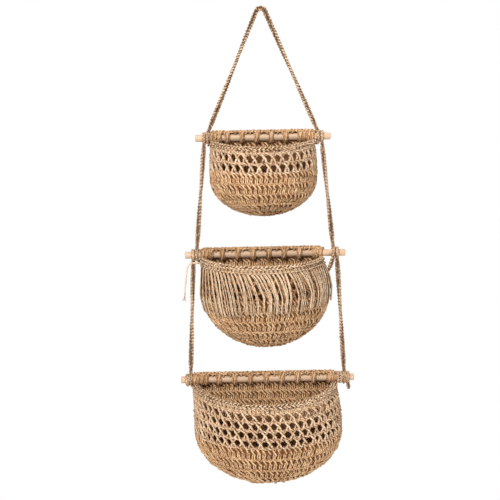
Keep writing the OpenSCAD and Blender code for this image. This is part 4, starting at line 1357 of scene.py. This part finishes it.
@dataclass
class Studio:
    """Camera, lamps, white surround and floor."""

    eye: tuple[float, float, float] = (-0.030, -1.55, -0.480)
    aim: tuple[float, float, float] = (-0.030, 0.0, -0.480)
    roll: float = -1.1
    lens: float = 55.8

    def camera(self) -> None:
        """Places the camera: its z axis points back from the aim, then it is rolled about it."""
        data = bpy.data.cameras.new("camera")
        data.lens = self.lens
        data.sensor_width = 36.0
        camera = bpy.data.objects.new("camera", data)
        bpy.context.scene.collection.objects.link(camera)
        back = Vector(self.eye) - Vector(self.aim)
        turned = back.to_track_quat("Z", "Y").to_matrix().to_4x4()
        camera.matrix_world = Matrix.Translation(self.eye) @ turned @ Matrix.Rotation(math.radians(self.roll), 4, "Z")
        bpy.context.scene.camera = camera

    def lamp(self, name: str, place: tuple[float, float, float], size: float, power: float) -> None:
        """Adds a square soft lamp that faces the middle of the object."""
        data = bpy.data.lights.new(name, "AREA")
        data.size = size
        data.energy = power
        lamp = bpy.data.objects.new(name, data)
        bpy.context.scene.collection.objects.link(lamp)
        lamp.location = place
        lamp.rotation_euler = (Vector((0, 0, -0.5)) - Vector(place)).to_track_quat("-Z", "Y").to_euler()

    def world(self) -> None:
        """White to the camera and in reflections, and a low even light to everything else."""
        world = bpy.data.worlds.new("surround")
        bpy.context.scene.world = world
        world.use_nodes = True
        n = Nodes(world.node_tree)
        path = n.add("ShaderNodeLightPath").outputs
        seen = n.math("MAXIMUM", path["Is Camera Ray"], n.math("MAXIMUM", path["Is Glossy Ray"], path["Is Transmission Ray"]))
        low = n.add("ShaderNodeBackground", {"Color": (1, 1, 1, 1), "Strength": 0.28})
        white = n.add("ShaderNodeBackground", {"Color": (1, 1, 1, 1), "Strength": 1.0})
        both = n.add("ShaderNodeMixShader", {0: seen, 1: low.outputs[0], 2: white.outputs[0]})
        out = n.add("ShaderNodeOutputWorld")
        n.tree.links.new(both.outputs[0], out.inputs[0])

    def floor(self) -> None:
        """A pale disc under the object: one face through points at equal angles round a circle."""
        count, radius, z = 96, 0.95, -1.3
        a = np.arange(count) * 2 * np.pi / count
        rim = np.stack([radius * np.cos(a), radius * np.sin(a), np.full(count, z)], -1)
        mesh = bpy.data.meshes.new("floor")
        mesh.from_pydata(rim.tolist(), [], [list(range(count))])
        made = bpy.data.materials.new("floor")
        made.use_nodes = True
        n = Nodes(made.node_tree)
        shader = n.add("ShaderNodeBsdfPrincipled", {"Base Color": (0.9, 0.9, 0.89, 1), "Roughness": 0.9})
        pale = n.add("ShaderNodeEmission", {"Color": (0.95, 0.95, 0.945, 1), "Strength": 1.0})
        seen = n.math("MULTIPLY", n.add("ShaderNodeLightPath").outputs["Is Camera Ray"], 0.6)
        both = n.add("ShaderNodeMixShader", {0: seen, 1: shader.outputs[0], 2: pale.outputs[0]})
        out = n.add("ShaderNodeOutputMaterial")
        n.tree.links.new(both.outputs[0], out.inputs[0])
        mesh.materials.append(made)
        piece = bpy.data.objects.new("floor", mesh)
        bpy.context.scene.collection.objects.link(piece)

    def build(self) -> None:
        """Sets up the camera, the lamps, the surround and the floor."""
        bpy.context.scene.view_settings.view_transform = "Standard"
        self.camera()
        self.lamp("key", (-0.6, -1.6, 0.25), 0.6, 29.5)
        self.lamp("fill", (0.5, -1.6, -1.3), 1.0, 13.5)
        self.lamp("behind", (0.4, 1.6, 0.3), 0.9, 20.0)
        self.lamp("top", (0.2, -0.35, 1.0), 0.6, 5.0)
        self.world()
        self.floor()


def main() -> None:
    """Builds the camera, the cords, the baskets and the trimmings, in that order."""
    logging.basicConfig(level=logging.INFO, format="%(name)s: %(message)s")
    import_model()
    Studio().build()
    hanger = Hanger()
    hanger.build()
    for tier in (TOP, MIDDLE, BOTTOM):
        Basket(tier).build()
    Trimmings().build(hanger)


if __name__ == "__main__":
    main()
